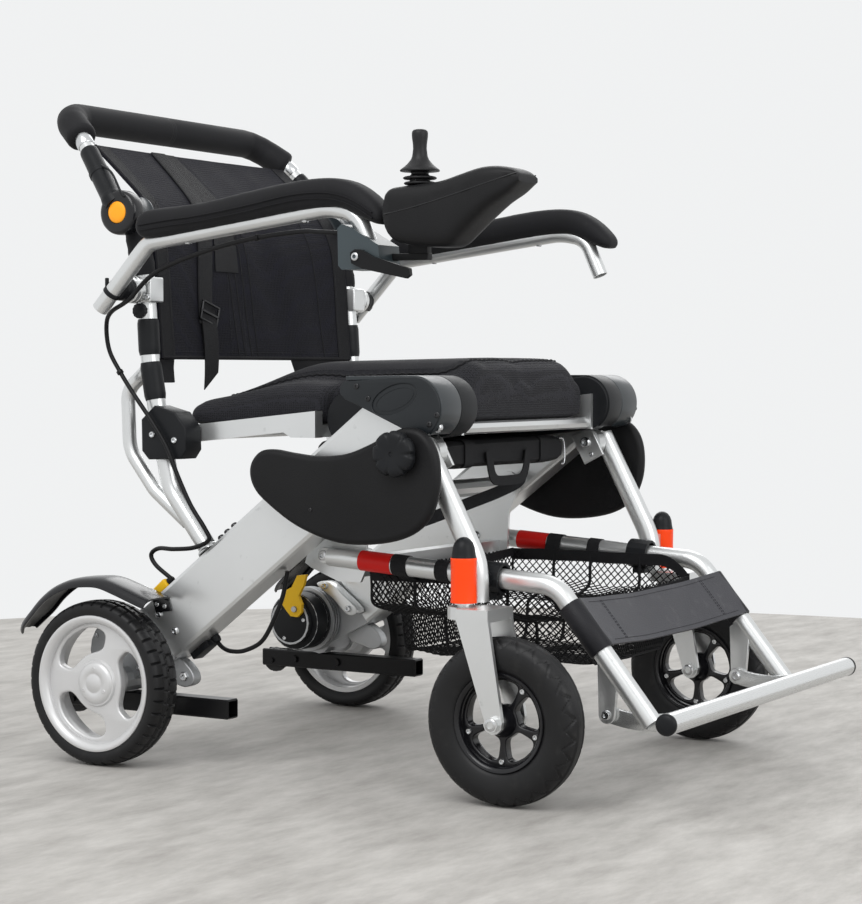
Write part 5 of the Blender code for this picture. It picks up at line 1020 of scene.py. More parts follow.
BASKET_PROFILE = mm((193.5, 268), (191.5, 245), (189, 224), (160, 213.5), (118, 205.5), (111.5, 180), (107, 160),
                    (97, 152.5), (50, 150.5), (0, 150))
BASKET_REAR = -0.004
BASKET_FRONT = -0.280
RIM_REAR = 0.268
RIM_FRONT = 0.240
NET_MESH = 0.0054
NET_CORD = 0.0010


def net_strands(grid):
    """Crossing cords through a grid of spots, joined at every other one so that the holes are diamonds."""
    bm = bmesh.new()
    for row, (here, follow) in enumerate(zip(grid, grid[1:])):
        for column in range(len(here) - 1):
            ends = (here[column + 1], follow[column])
            if (row + column) % 2:
                ends = (here[column], follow[column + 1])
            along = ends[1] - ends[0]
            if along.length < 1e-5:
                continue
            aside = along.orthogonal().normalized() * NET_CORD
            lift = along.cross(aside).normalized() * NET_CORD
            offsets = (aside, lift * 0.87 - aside * 0.5, -lift * 0.87 - aside * 0.5)
            rings = [[bm.verts.new(end + offset) for offset in offsets] for end in ends]
            skin_between(bm, rings)
            bm.faces.new(rings[0][::-1])
            bm.faces.new(rings[1])
    return made(bm)


def basket_spot(place, y):
    """A spot of the net, which bellies out a little between its hems and dips at the front."""
    belly = math.sin(math.pi * (y - BASKET_FRONT) / (BASKET_REAR - BASKET_FRONT))
    low = max(0.0, 0.225 - place.y) / 0.075
    dent = 0.0016 * math.sin(38 * y + 60 * place.x) + 0.0010 * math.sin(90 * y - 35 * place.x)
    rim_drop = 0.030 * (1 - min(max((y + 0.282) / 0.050, 0.0), 1.0)) ** 2
    level = place.y if place.y < 0.225 else place.y - rim_drop * (place.y - 0.225) / 0.043
    return Vector((place.x * (1 + 0.012 * belly) + dent * 0.5, y,
                   level - 0.0015 * belly * low + dent * (1 if low else 0.3)))


def basket_reach(level):
    """How far the basket's ends reach to the side at a height."""
    for (x_high, z_high), (x_low, z_low) in zip(BASKET_PROFILE, BASKET_PROFILE[1:]):
        if z_low <= level <= z_high:
            return max(0.05, x_low + (x_high - x_low) * (level - z_low) / max(z_high - z_low, 1e-6))
    return BASKET_PROFILE[0][0]


profile = [Vector(spot) for spot in BASKET_PROFILE + [(-x, z) for x, z in BASKET_PROFILE[-2::-1]]]
around_basket = []
for start, end in zip(profile, profile[1:]):
    count = max(1, round((end - start).length / NET_MESH))
    around_basket += [start.lerp(end, step / count) for step in range(count)]
around_basket.append(profile[-1])
basket_length = BASKET_REAR - BASKET_FRONT
long_count = round(basket_length / NET_MESH)
along_basket = [BASKET_FRONT + basket_length * step / long_count for step in range(long_count + 1)]
nets = [net_strands([[basket_spot(spot, y) for spot in around_basket] for y in along_basket])]
for y, top, count in ((BASKET_FRONT, RIM_FRONT, 17), (BASKET_REAR, RIM_REAR, 22)):
    levels = [top - NET_MESH * step for step in range(count)]
    nets.append(net_strands([[Vector((basket_reach(level) * (-1 + 2 * column / 70), y, max(level, 0.1512)))
                              for column in range(71)] for level in levels]))
link("basket_net", joined(nets), net_cord, "footrest", angle=30, instead_of="storage_basket")


def rib_of(side, y, spots, count, radius, sides):
    """A cord across the basket's side, through spots of its profile."""
    return pipe(smooth_line([(side * x, y, z) for x, z in spots], count=count, closed=False), radius, sides=sides)


hems = []
for side in SIDES.values():
    rim = []
    for step in range(41):
        lip = basket_spot(Vector((0.1930, RIM_REAR)), BASKET_FRONT + basket_length * step / 40)
        rim.append([Vector((side * 0.1930, lip.y, lip.z + rise)) for rise in (0.002, -0.006, -0.014)])
    hems.append(lofted(rim, thickness=0.0018))
    proud = [(x + 0.0008, z - 0.0008) for x, z in BASKET_PROFILE[:8]]
    hems += [rib_of(side, y, proud, count=4, radius=0.0022, sides=8) for y in (-0.070, -0.128, -0.205)]
SAG = ((-0.1925, 0.004), (-0.10, 0.009), (0.0, 0.011), (0.10, 0.009), (0.1925, 0.004))
for y, top in ((BASKET_FRONT, RIM_FRONT), (BASKET_REAR, RIM_REAR)):
    band = smooth_line([(x, y, top - drop) for x, drop in SAG], count=8, closed=False)
    hems.append(lofted([[spot + Vector((0, 0, rise)) for rise in (0.006, 0.0, -0.006)] for spot in band],
                       thickness=0.0018))
    below = [spot for spot in BASKET_PROFILE[:8] if spot[1] < top + 0.006]
    hems += [rib_of(side, y, below, count=4, radius=0.0016, sides=10) for side in SIDES.values()]
    hems.append(pipe([(-0.097, y, 0.1520), (0.0, y, 0.1502), (0.097, y, 0.1520)], 0.0016, sides=10))
link("basket_hem", joined(hems), black_webbing, "footrest", instead_of="storage_basket")
LOOPS = mm((-76, -54), (-137, -118.5))
loops = []
for side in SIDES.values():
    for front, rear in LOOPS:
        rows = []
        for y in (front, (front + rear) / 2, rear):
            x, y, height = on_footrest(1, y)
            ring = around((x, height), FOOTREST_RADIUS + 0.0012, -100, 150, 24)
            ring += [(0.1936, height - 0.010), (0.1936, 0.2560), (0.1950, 0.2560)]
            rows.append([(side * x, y, z) for x, z in ring])
        loops.append(lofted(rows, thickness=0.0014, offset=side, closed=True))
link("basket_loops", joined(loops), black_webbing, "footrest")

# Seat frame
# Silver side rails and thin front arms, welded to three cross tubes that carry the cushion. The arms turn
# on the hinge pins, and the backrest's knuckles turn on bosses at the rails' rear ends.

paint(["seat_frame"], satin_silver)

# Seat cushion
# A padded seat of charcoal spacer mesh with a smoother, darker raised crown. A piped seam runs round
# the crown's foot and the nose hangs lower in front.

spacer, place, pitch = shader_group("spacer_mesh", "Pitch", 330.0)
combs = node_in(spacer, "TexVoronoi", Vector=place, Scale=pitch, Randomness=0.35)
combs.feature = "DISTANCE_TO_EDGE"
walls = between(spacer, combs.outputs["Distance"], 0.04, 0.26)
# Hole is 1 in the middle of each cell, where the bump sinks the mesh. There the colour is painted near black, a
# painted shade in the mesh's hollows.
masks(spacer, Height=sum_of(spacer, 1.0, walls, "SUBTRACT"), Tone=noise(spacer, place, 26.0, 5.0), Hole=walls)
# Near-black painted shade laid into the hollows of the seat's spacer mesh.
HOLE_SHADE = (0.002, 0.002, 0.003)
charcoal_mesh = finish("charcoal_mesh", "mesh_fabric", spacer, (0.012, 0.012, 0.016), (0.024, 0.024, 0.030),
                       (0.66, 0.80), bump=0.7, depth=0.0010, over=("Hole", 0.8, HOLE_SHADE),
                       Sheen_Weight=0.05, Sheen_Roughness=0.5)
crown_cloth = finish("crown_cloth", "mesh_fabric", spacer, (0.005, 0.005, 0.007), (0.011, 0.011, 0.015),
                     (0.60, 0.76), bump=0.35, depth=0.0005, grain=560.0, Sheen_Weight=0.04, Sheen_Roughness=0.5)
piping_cloth = finish("piping_cloth", "mesh_fabric", webbing, (0.004, 0.004, 0.005), (0.010, 0.010, 0.012),
                      (0.56, 0.72), bump=0.4, depth=0.0004)
CUSHION_FRONT = -0.132
CUSHION_REAR = 0.285
CUSHION_HALF = 0.212
NOSE_HALF = 0.179
SHOULDER_Y = 0.054
CROWN_HALF = 0.150
CROWN_FRONT = -0.108
CROWN_REAR = 0.262
PAD_CUTS = (83, 83, 7)


def eased(low, high, value):
    share = min(max((value - low) / (high - low), 0.0), 1.0)
    return share * share * (3 - 2 * share)


def cushion_underside(y):
    return 0.4598 + (0.4528 - 0.4598) * (y + 0.1245) / 0.3695


def cushion_top(x, y):
    """Height of the cushion's upper face, without its rounded rim."""
    back = eased(0.285, 0.10, y)
    crown = eased(0.172, 0.118, abs(x)) * (0.006 + 0.022 * back) * (1 - 0.10 * (x / 0.15) ** 2)
    return cushion_underside(y) + 0.030 + 0.022 * back + crown


bm = bmesh.new()
bmesh.ops.create_cube(bm, size=2.0)
for axis, cuts in enumerate(PAD_CUTS):
    lines = [edge for edge in bm.edges if abs((edge.verts[0].co - edge.verts[1].co)[axis]) > 0.5]
    bmesh.ops.subdivide_edges(bm, edges=lines, cuts=cuts)
for vert in bm.verts:
    across_share, along_share, up_share = vert.co
    y = CUSHION_FRONT + 0.001 + (CUSHION_REAR - CUSHION_FRONT - 0.002) * (along_share + 1) / 2
    half = NOSE_HALF + (CUSHION_HALF - NOSE_HALF) * eased(SHOULDER_Y - 0.002, SHOULDER_Y + 0.008, y) - 0.001
    corner = 0.014 * max(0.0, (abs(along_share) - 0.93) / 0.07) ** 2 * abs(across_share) ** 3
    x = across_share * (half - corner)
    bottom = cushion_underside(y) + 0.0004
    rim_along = min(y - CUSHION_FRONT, CUSHION_REAR - y)
    if y < SHOULDER_Y + 0.004 and abs(x) > NOSE_HALF:
        rim_along = min(rim_along, abs(y - SHOULDER_Y))
    fall = 0.014 * (1 - min(min(half - abs(x), rim_along) / 0.026, 1.0)) ** 2
    share = (up_share + 1) / 2
    z = bottom + (cushion_top(x, y) - fall - 0.001 - bottom) * share
    if abs(across_share) > 0.999:
        x += math.copysign(0.0015 * math.sin(math.pi * share), x)
    vert.co = (x, y, z)


def plumped(mesh, limit, grain=0.005, pressure=4.0):
    """A padded form swollen by its filling in a short cloth simulation, no point moving beyond a limit."""
    shape = placed("pad", mesh)
    skin = shape.modifiers.new("skin", "REMESH")
    skin.mode = "VOXEL"
    skin.voxel_size = grain
    even = as_mesh(shape)
    rest = [vert.co.copy() for vert in even.vertices]
    shape = placed("pad", even)
    cloth = shape.modifiers.new("filling", "CLOTH")
    cloth.settings.use_pressure = True
    cloth.settings.uniform_pressure_force = pressure
    cloth.settings.effector_weights.gravity = 0.0
    for frame_number in range(1, 21):
        bpy.context.scene.frame_set(frame_number)
    graph = bpy.context.evaluated_depsgraph_get()
    swollen = [vert.co.copy() for vert in shape.evaluated_get(graph).to_mesh().vertices]
    shape.modifiers.clear()
    bpy.context.scene.frame_set(1)
    for vert, start, end in zip(even.vertices, rest, swollen):
        move = end - start
        if move.length > limit:
            move *= limit / move.length
        vert.co = start + move
    soften = shape.modifiers.new("even_out", "CORRECTIVE_SMOOTH")
    soften.iterations = 4
    soften.use_only_smooth = True
    shape.modifiers.new("fine", "SUBSURF").levels = 1
    return as_mesh(shape)


corners = []
for x, y, start in ((CROWN_HALF, CROWN_REAR, 0), (-CROWN_HALF, CROWN_REAR, 90), (-CROWN_HALF, CROWN_FRONT, 180),
                    (CROWN_HALF, CROWN_FRONT, 270)):
    centre = (x - math.copysign(0.034, x), y - math.copysign(0.034, y - 0.05))
    corners += around(centre, 0.034, start, start + 90, 10)
seam_route = []
for start, end in zip(corners, corners[1:] + corners[:1]):
    count = max(1, round(math.dist(start, end) / 0.006))
    seam_route += [(start[0] + (end[0] - start[0]) * step / count, start[1] + (end[1] - start[1]) * step / count)
                   for step in range(count)]
pad = plumped(made(bm, outward=True), limit=0.0045)
for vert in pad.vertices:
    if vert.co.z > cushion_underside(vert.co.y) + 0.016:
        near = min(math.hypot(vert.co.x - x, vert.co.y - y) for x, y in seam_route[::2])
        vert.co.z -= 0.0026 * max(0.0, 1 - near / 0.011) ** 2
cushion = link("seat_pad", pad, charcoal_mesh, "seat", angle=60, instead_of="seat_cushion")
pad.materials.append(crown_cloth)
for face in pad.polygons:
    x, y, z = face.center
    if abs(x) < CROWN_HALF and CROWN_FRONT < y < CROWN_REAR and face.normal.z > 0.2:
        face.material_index = 1
cushion_skin = BVHTree.FromPolygons([vert.co for vert in pad.vertices], [face.vertices for face in pad.polygons])


def on_cushion(x, y, proud=0.0003):
    spot = cushion_skin.ray_cast(Vector((x, y, 0.60)), Vector((0, 0, -1)))[0]
    return spot + Vector((0, 0, proud))


piping_route = [on_cushion(x, y, 0.0004) for x, y in seam_route + seam_route[:2]]
piping = link("seat_piping", pipe(piping_route, 0.0019, sides=10), piping_cloth, "seat")
INSETS = (0.0075, -0.0075)
seams = [seam_at(lambda share: on_cushion(side * (CROWN_HALF + inset), -0.070 + 0.300 * share), steps=60,
                 normal=(0, 0, 1), length=0.0031) for side in SIDES.values() for inset in INSETS]
seams += [seam_at(lambda share: on_cushion(-0.110 + 0.220 * share, CROWN_FRONT - inset), steps=50,
                  normal=(0, 0, 1), length=0.0031) for inset in INSETS]
seat_seams = link("seat_seams", joined(seams), dark_thread, "seat")
for cloth in (cushion, piping, seat_seams):
    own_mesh(cloth)

# Seat tray
# A shallow cloth pocket on a stiff board below the seat, held by two webbing straps and wire rings, with
# a carrying loop in front. One more strap hangs from it to the frame.

TRAY_TOP = 0.4344
TRAY_FLOOR = 0.3982
TRAY_MIDDLE = (TRAY_TOP + TRAY_FLOOR) / 2
TRAY_HALF = 0.0995


def capped(mesh):
    """A mesh whose open ends are filled."""
    bm = bmesh.new()
    bm.from_mesh(mesh)
    bmesh.ops.holes_fill(bm, edges=[edge for edge in bm.edges if edge.is_boundary])
    return made(bm, outward=True)


def squared_ring(steps, along_power, up_power):
    """Shares of a rounded square, point by point."""
    turns = [math.tau * step / steps for step in range(steps)]
    return [(rounded(math.cos(turn), along_power), rounded(math.sin(turn), up_power)) for turn in turns]


rows = []
for step in range(41):
    y = -TRAY_HALF + 2 * TRAY_HALF * step / 40
    drawn = 0.010 * (max(0.0, abs(y) / TRAY_HALF - 0.90) / 0.10) ** 2
    row = []
    for along, up in squared_ring(72, along_power=0.16, up_power=0.34):
        x = along * (0.1640 - drawn * 0.4)
        z = TRAY_MIDDLE + up * ((TRAY_TOP - TRAY_FLOOR) / 2 - drawn * 0.55 - 0.0006 * math.sin(40 * x))
        row.append((x, y, z))
    rows.append(row)
tray = link("tray_pocket", capped(lofted(rows, closed=True)), black_webbing, "seat", angle=50,
            instead_of="seat_tray")
bands = []
for x in (-0.105, 0.105):
    bands.append(lofted([[(x + shift, along * 0.1004, TRAY_MIDDLE + up * 0.0187)
                          for along, up in squared_ring(96, along_power=0.16, up_power=0.3)]
                         for shift in (-0.0125, 0.0, 0.0125)],
                        thickness=0.0012, offset=1.0, closed=True))
OUTER_LOOP = mm((-66, 0, 418), (-60, 0, 390), (-50, 0, 376), (-30, 0, 372), (20, 0, 372), (40, 0, 376),
                (52, 0, 390), (60, 0, 418))
INNER_LOOP = mm((-48, 0, 418), (-45, 0, 398), (-40, 0, 388), (-28, 0, 385), (18, 0, 385), (30, 0, 388),
                (38, 0, 398), (44, 0, 418))
loop_rows = []
for edge in (OUTER_LOOP, INNER_LOOP):
    line = smooth_line(edge, count=5, closed=False)
    loop_rows.append([spot + Vector((0.0, -0.1030 - 0.0016 * math.sin(math.pi * index / len(line)), 0.0))
                      for index, spot in enumerate(line)])
bands.append(lofted(loop_rows, thickness=0.0016))
link("tray_straps", joined(bands), black_webbing, "seat")
WIRE = mm((-165, -92, 430), (-172.5, -94, 429), (-176, -95, 420), (-175, -96, 402), (-171.5, -96, 394),
          (-166, -95, 395))
wires = []
for side in SIDES.values():
    line = [(side * x, y, z) for x, y, z in smooth_line(WIRE, count=6, closed=False)]
    wires.append(pipe(line, 0.0011, sides=10))
link("tray_wire", joined(wires), bright_steel, "seat")
HANGER = mm((92, -78, 397.5), (78, -80, 376), (40, -66, 360), (-20, -46, 344), (-80, -28, 329), (-140, -12, 317),
            (-190, 1.2, 307))
hanger = [[spot + Vector((0.0, 0.002 * edge, 0.0080 * edge)) for edge in (1, 0, -1)]
          for spot in smooth_line(HANGER, count=6, closed=False)]
link("hanger_strap", lofted(hanger, thickness=0.0015), black_webbing, "chassis")

# Backrest posts
# Bent silver tubes with a bolted black knuckle at the fold and a clamp block for the armrest. A second
# thin tube curves behind each, and black sleeves cover the joints.

POST_TRACK = 0.249
POST_ROUTE = mm((213.7, 288.4), (238.1, 319.7), (274.5, 365.6), (292.5, 440), (310.3, 539.2), (315.5, 633),
                (336, 735.5))
POST_BENDS = [0.06, 0.06, 0.15, 0.3, 0.6]
LOOP_ROUTE = mm((308.5, 531.2), (348, 498.8), (344.9, 417.8), (302.9, 364.9), (248, 323))
KNUCKLE = mm((238, 420), (247, 408), (300, 406.5), (311, 418), (311.7, 460), (290, 478.5), (256, 470), (239, 450))
HUB_BARREL = mm((0, 14.8), (22.2, 14.8), (23.4, 13.6), (23.4, 3), (22.8, 2.2), (22.8, -11), (23.4, -11.8),
                (23, -14.2), (0, -14.2))
HUB = (0.336, 0.7355)
ARM_PIVOT = (0.318, 0.633)


def along_route(path, level):
    """The point of a path at a height."""
    for start, end in zip(path, path[1:]):
        if (start.z - level) * (end.z - level) <= 0 and start.z != end.z:
            return start.lerp(end, (level - start.z) / (end.z - start.z))
    return path[-1]


post_sleeves, hub_barrels, lock_knobs, post_paths = [], [], [], {}
for name, side in SIDES.items():
    path = bent(in_side_view(side * POST_TRACK, POST_ROUTE), POST_BENDS, steps=10)
    post_paths[side] = path
    loop = bent(in_side_view(side * POST_TRACK, LOOP_ROUTE), [0.03, 0.05, 0.05], steps=12)
    block = slab_at((side * 0.2518, 0.3155, 0.6330), (0.0150, 0.0198, 0.0168), bevel=0.0022)
    boss = turned(mm((0, 20.8), (13.2, 20.8), (14.5, 19.6), (14.5, 0), (0, 0)),
                  across(side, POST_TRACK, *ARM_PIVOT), steps=40)
    foot = turned(mm((0, 6.2), (13, 6.2), (16, 3), (16.2, 0.4), (0, 0.4)),
                  facing((side * POST_TRACK, 0.2125, 0.2868), (0, 0.6157, 0.7880)), steps=36)
    tube = joined([pipe(path, 0.0127, sides=32), pipe(loop, 0.0095), block, boss, foot])
    link("post_tube_" + name, tube, satin_silver, "backrest", instead_of="back_post_" + name)
    link("post_knuckle_" + name, plate([KNUCKLE], side, 0.2309, 0.2674, round_by=0.0022), black_moulding,
         "backrest")
    hub_barrels.append(turned(HUB_BARREL, across(side, POST_TRACK, *HUB), steps=48))
    for low, high, radius in ((0.546, 0.594, 0.0148), (0.486, 0.536, 0.0146)):
        stretch = [along_route(path, low + (high - low) * step / 8) for step in range(9)]
        post_sleeves.append(pipe(stretch, [radius - 0.0012] + [radius] * 7 + [radius - 0.0012]))
    knob = turned(mm((0, 17.5), (9, 17.5), (10.4, 16.5), (10.6, 6), (9.8, 4.5), (0, 4.5)), Matrix.Identity(4),
                  steps=96)
    for vert in knob.vertices:
        if math.hypot(vert.co.x, vert.co.y) > 0.0095:
            vert.co.xy *= 1 - 0.05 * (0.5 + 0.5 * math.cos(12 * math.atan2(vert.co.y, vert.co.x)))
    knob.transform(across(side, POST_TRACK, 0.3165, 0.6050))
    lock_knobs.append(knob)
link("post_sleeves", joined(post_sleeves), black_moulding, "backrest")
link("hub_barrels", joined(hub_barrels), slate_moulding, "backrest")
link("post_lock_knobs", joined(lock_knobs), black_moulding, "backrest")
frames = both_sides(across, 0.2667, mm((301, 622.5), (301, 644), (330, 643)))
frames += both_sides(across, 0.2674, mm((292.5, 440), (256, 433)))
screws("post_bolts", 4.6, 3.0, frames, bright_steel, "backrest", steps=24)

# Back canvas
# Dark spacer mesh stretched between the posts and bent back with them at the top. Hemmed all round,
# with stitched bands, wraps round the posts and a webbing strap that a ladder buckle tightens.

CANVAS_SPINE = mm((302, 542), (307, 600), (311, 660), (318, 710), (336, 752), (376, 792), (422, 833))
CANVAS_HALF = 0.2358
CANVAS_TOP_HALF = 0.228
CANVAS_WALL = 0.0036
# The canvas's hollows get the same near-black painted shade.
canvas_mesh = finish("canvas_mesh", "mesh_fabric", spacer, (0.0035, 0.0035, 0.0075), (0.008, 0.008, 0.015),
                     (0.68, 0.84), bump=0.6, depth=0.0008, grain=290.0, over=("Hole", 0.75, HOLE_SHADE),
                     Sheen_Weight=0.02, Sheen_Roughness=0.45)
spine = smooth_line([(0.0, y, z) for y, z in CANVAS_SPINE], count=12, closed=False)
heights = [spot.z for spot in spine]


def on_canvas(across_share, spine_share, proud=0.0):
    """A point of the canvas's middle layer; it sags to the rear between the posts and ripples a little."""
    where = spine_share * (len(spine) - 1)
    index = min(int(where), len(spine) - 2)
    spot = spine[index].lerp(spine[index + 1], where - index)
    along = (spine[index + 1] - spine[index]).normalized()
    above = eased(0.700, 0.760, spot.z)
    half = CANVAS_HALF * (1 - above) + CANVAS_TOP_HALF * above
    ripple = 0.0012 * math.sin(3 * math.pi * across_share) * (1 - eased(0.60, 0.85, spot.z))
    folds = 0.0008 * math.sin(17 * across_share + 26 * spot.z) * (1 - abs(across_share))
    sag = 0.009 * (1 - across_share ** 2) + ripple + folds
    return Vector((across_share * half, spot.y + sag, spot.z)) + Vector((0.0, -along.z, along.y)) * proud


def spine_share_at(z):
    for index in range(len(heights) - 1):
        if heights[index] <= z <= heights[index + 1]:
            return (index + (z - heights[index]) / (heights[index + 1] - heights[index])) / (len(heights) - 1)
    return 1.0


def canvas_line(start, end, proud=0.0):
    """A line on the canvas between two places, each given across it and up its spine."""
    first, last = Vector(start), Vector(end)
    return [on_canvas(*first.lerp(last, step / 60), proud) for step in range(61)]


rows, canvas_area = grid_of(on_canvas, columns=110, rows=96)
canvas = link("back_rest_canvas", lofted(rows, thickness=CANVAS_WALL), canvas_mesh, instead_of="back_canvas")
face = CANVAS_WALL / 2
hem_meshes = [pipe(canvas_line((side * 0.985, 0), (side * 0.985, 1)), 0.0030, sides=12)
              for side in SIDES.values()]
hem_meshes.append(pipe(canvas_line((-0.985, 0.003), (0.985, 0.003)), 0.0030, sides=12))
hem_meshes += [pipe(canvas_line((place + 0.10, 0.01), (place, 0.63), face - 0.0004), 0.0013, sides=10)
               for place in (-0.30, -0.235, -0.16, -0.085, 0.62)]
hem_meshes += [lofted([canvas_line((place + shift, 0.005), (place + shift, 0.995), face + 0.0004)
                       for shift in (-0.060, 0.0, 0.060)], thickness=0.0008) for place in (-0.93, 0.93)]
hems = link("canvas_hems", joined(hem_meshes), piping_cloth)
CANVAS_THREAD = {"pitch": 0.0048, "length": 0.0033}
seams = [seam_at(lambda share: on_canvas(place, 0.01 + 0.98 * share, face + 0.0009), steps=80,
                 normal=(0, -1, 0.1), **CANVAS_THREAD) for place in (-0.885, -0.27, -0.12, 0.885)]
seams.append(seam_at(lambda share: on_canvas(-0.96 + 1.92 * share, 0.025, face + 0.0004), steps=80,
                     normal=(0, -1, 0.1), **CANVAS_THREAD))
canvas_seams = link("canvas_seams", joined(seams), dark_thread)

STRAP_ROUTE = mm((-120, 590), (-118, 640), (-110, 700), (-98, 752), (-88, 790), (-80, 832))
STRAP_PITCH = 0.232
strap_centre = smooth_line([(x, z, 0.0) for x, z in STRAP_ROUTE], count=10, closed=False)


def on_strap_route(spot, shift, proud):
    return on_canvas((spot.x + shift) / STRAP_PITCH, spine_share_at(spot.y), face + proud)


strap_rows = [[on_strap_route(spot, shift, proud) for spot in strap_centre]
              for shift, proud in ((-0.0165, 0.0012), (-0.0150, 0.0022), (0.0, 0.0022), (0.0150, 0.0022),
                                   (0.0165, 0.0012))]
flap_rows = [[on_strap_route(spot, shift * (1.5 - 0.9 * index / len(strap_centre)), 0.0010)
              for index, spot in enumerate(strap_centre) if spot.y > 0.66] for shift in (0.0200, 0.0420, 0.0640)]
tail_start = on_canvas(-0.118 / STRAP_PITCH, spine_share_at(0.612), face + 0.0040)
tail_rows = [[tail_start + Vector((shift + 0.004 * share, -0.006 * math.sin(math.pi * share * 0.8),
                                   -drop * share)) for share in (step / 16 for step in range(17))]
             for shift, drop in ((-0.0160, 0.114), (0.0, 0.102), (0.0160, 0.090))]
strap_parts = [lofted(strap_rows, thickness=0.0014), lofted(tail_rows, thickness=0.0014),
               lofted(flap_rows, thickness=0.0012)]
tension_strap = link("canvas_strap", joined(strap_parts), black_webbing)
for cloth in (canvas, hems, canvas_seams, tension_strap):
    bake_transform(cloth)
BUCKLE_BARS = mm((-20.5, -14, 20.5, -11.2), (-20.5, 11.2, 20.5, 14), (-20.5, -2.5, 20.5, 1),
                 (-20.5, -14, -17.8, 14), (17.8, -14, 20.5, 14))
buckle_spot = on_canvas(-0.115 / STRAP_PITCH, spine_share_at(0.604), face + 0.0060)
buckle_place = Matrix.Translation(buckle_spot) @ Matrix.Rotation(math.radians(16), 4, "Y")
bars = []
for x_low, z_low, x_high, z_high in BUCKLE_BARS:
    bars.append(slab((x_low, -0.0016, z_low), (x_high, 0.0016, z_high), bevel=0.0009))
    bars[-1].transform(buckle_place)
buckle = link("canvas_buckle", joined(bars), dark_screw, "backrest")
wraps = []
for side in SIDES.values():
    stretch = [along_route(post_paths[side], 0.652 + 0.066 * step / 12) for step in range(13)]
    wraps.append(pipe(stretch, [0.0150] + [0.0160 + 0.0004 * (step % 3) for step in range(11)] + [0.0150]))
    corner = [on_canvas(side * share, 0.02) for share in (0.99, 0.93, 0.86)]
    wraps.append(lofted([[spot + Vector((side * 0.001 * step, 0.002 * math.sin(step), -0.010 * step))
                          for spot in corner] for step in range(5)], thickness=0.0030))
flap = [[on_canvas(0.36 + 0.55 * share, 0.01) + Vector((0.024 * (1 - share), 0.004, -0.031)) * (row / 5)
         for share in (column / 16 for column in range(17))] for row in range(6)]
wraps.append(lofted(flap, thickness=0.0024))
canvas_wraps = link("canvas_wraps", joined(wraps), piping_cloth, "backrest")

# Push handle
# A thick foam grip across the top on two bent arms, which fold at hubs on the posts when the orange
# buttons are pressed. Black sleeves cover the arms, and thin release cables run from them to the hubs.

foam, place, grain = shader_group("closed_cell_foam", "Grain", 520.0)
masks(foam, Height=noise(foam, place, grain, 4.0), Tone=noise(foam, place, 20.0, 5.0),
      Wear=between(foam, noise(foam, place, 90.0, 5.0), 0.60, 0.80))
black_foam = finish("black_foam", "foam_grip", foam, (0.006, 0.006, 0.007), (0.012, 0.012, 0.014), (0.60, 0.74),
                    bump=0.35, depth=0.0005, over=("Wear", 0.2, (0.03, 0.03, 0.031)), Sheen_Weight=0.03)
orange_button = finish("orange_button", "orange_plastic", moulded, (1.0, 0.34, 0.012), (1.0, 0.42, 0.030),
                       (0.30, 0.42), bump=0.06)
FOAM_RADIUS = 0.0209
FOAM_END = (0.246, 0.426, 0.841)
FOAM_ROUTE = mm((-246, 426, 841), (-222, 473, 875), (0, 475.5, 875.5), (222, 473, 875), (246, 426, 841))
FOAM_LIPS = ((0.0, 0.0060), (0.10, 0.0024), (0.28, 0.0006), (0.50, 0.0))
path = bent(FOAM_ROUTE, [0.05, 0.5, 0.05], steps=14)
stops = [path[0].lerp(path[1], share * 0.5) for share, thinner in FOAM_LIPS] + path[1:-1]
stops += [path[-1].lerp(path[-2], share * 0.5) for share, thinner in reversed(FOAM_LIPS)]
radii = [FOAM_RADIUS - thinner for share, thinner in FOAM_LIPS]
radii = radii + [FOAM_RADIUS + 0.00015 * math.sin(index * 1.3) for index in range(len(path) - 2)] + radii[::-1]
grip = link("push_grip", pipe(stops, radii, sides=48), black_foam, "push_handle", angle=60,
            instead_of="push_handle")
HANDLE_TRACK = 0.27475
ARM_SLEEVE = ((46, 11.2), (48, 13.4), (70, 13), (84, 13), (88, 12.6), (90, 10.8))
SLEEVE_COLLAR = ((40, 12.5), (42, 14.6), (48, 14.6), (50, 12.5))
GRIP_RING = ((-16, 11), (-14, 12.2), (-4, 12.2), (0, 11.8))


def ring_along(start, direction, stops, sides):
    """A sleeve along a line, by its distances and radii in millimetres."""
    return pipe([start + direction * (reach / 1000) for reach, radius in stops],
                [radius / 1000 for reach, radius in stops], sides=sides)


arms, handle_sleeves, grip_rings, cables = [], [], [], []
for side in SIDES.values():
    hub = Vector((side * HANDLE_TRACK, *HUB))
    elbow = Vector((side * HANDLE_TRACK, 0.3545, 0.7570))
    end = Vector((side * FOAM_END[0], *FOAM_END[1:]))
    along = (end - elbow).normalized()
    arms.append(pipe(bent([hub, elbow, end, (side * 0.236, 0.448, 0.859)], [0.02, 0.08], steps=10), 0.0104))
    lower = bent([hub + Vector((0, 0.010, 0.012)), elbow, elbow + along * 0.042], [0.02], steps=10)
    taper = [0.0158 - 0.0022 * index / (len(lower) - 1) for index in range(len(lower))]
    handle_sleeves += [ring_along(elbow, along, ARM_SLEEVE, 32), ring_along(elbow, along, SLEEVE_COLLAR, 32),
                       pipe(lower, taper, sides=32)]
    grip_rings.append(ring_along(end, along, GRIP_RING, 36))
    loop = [elbow + along * reach + Vector((side * x, y, z)) for reach, x, y, z in
            ((0.052, 0.006, -0.010, 0.006), (0.030, 0.010, -0.022, 0.010), (0.0, 0.012, -0.028, 0.002))]
    loop += [(side * 0.2830, 0.322, 0.757), (side * 0.2780, 0.330, 0.7590)]
    cables.append(pipe(smooth_line(loop, count=8, closed=False), 0.0016, sides=12))
link("handle_arms", joined(arms), satin_silver, "push_handle")
link("handle_sleeves", joined(handle_sleeves), black_moulding, "push_handle")
link("handle_rings", joined(grip_rings), bright_steel, "push_handle")
link("handle_cables", joined(cables), black_moulding, "push_handle")
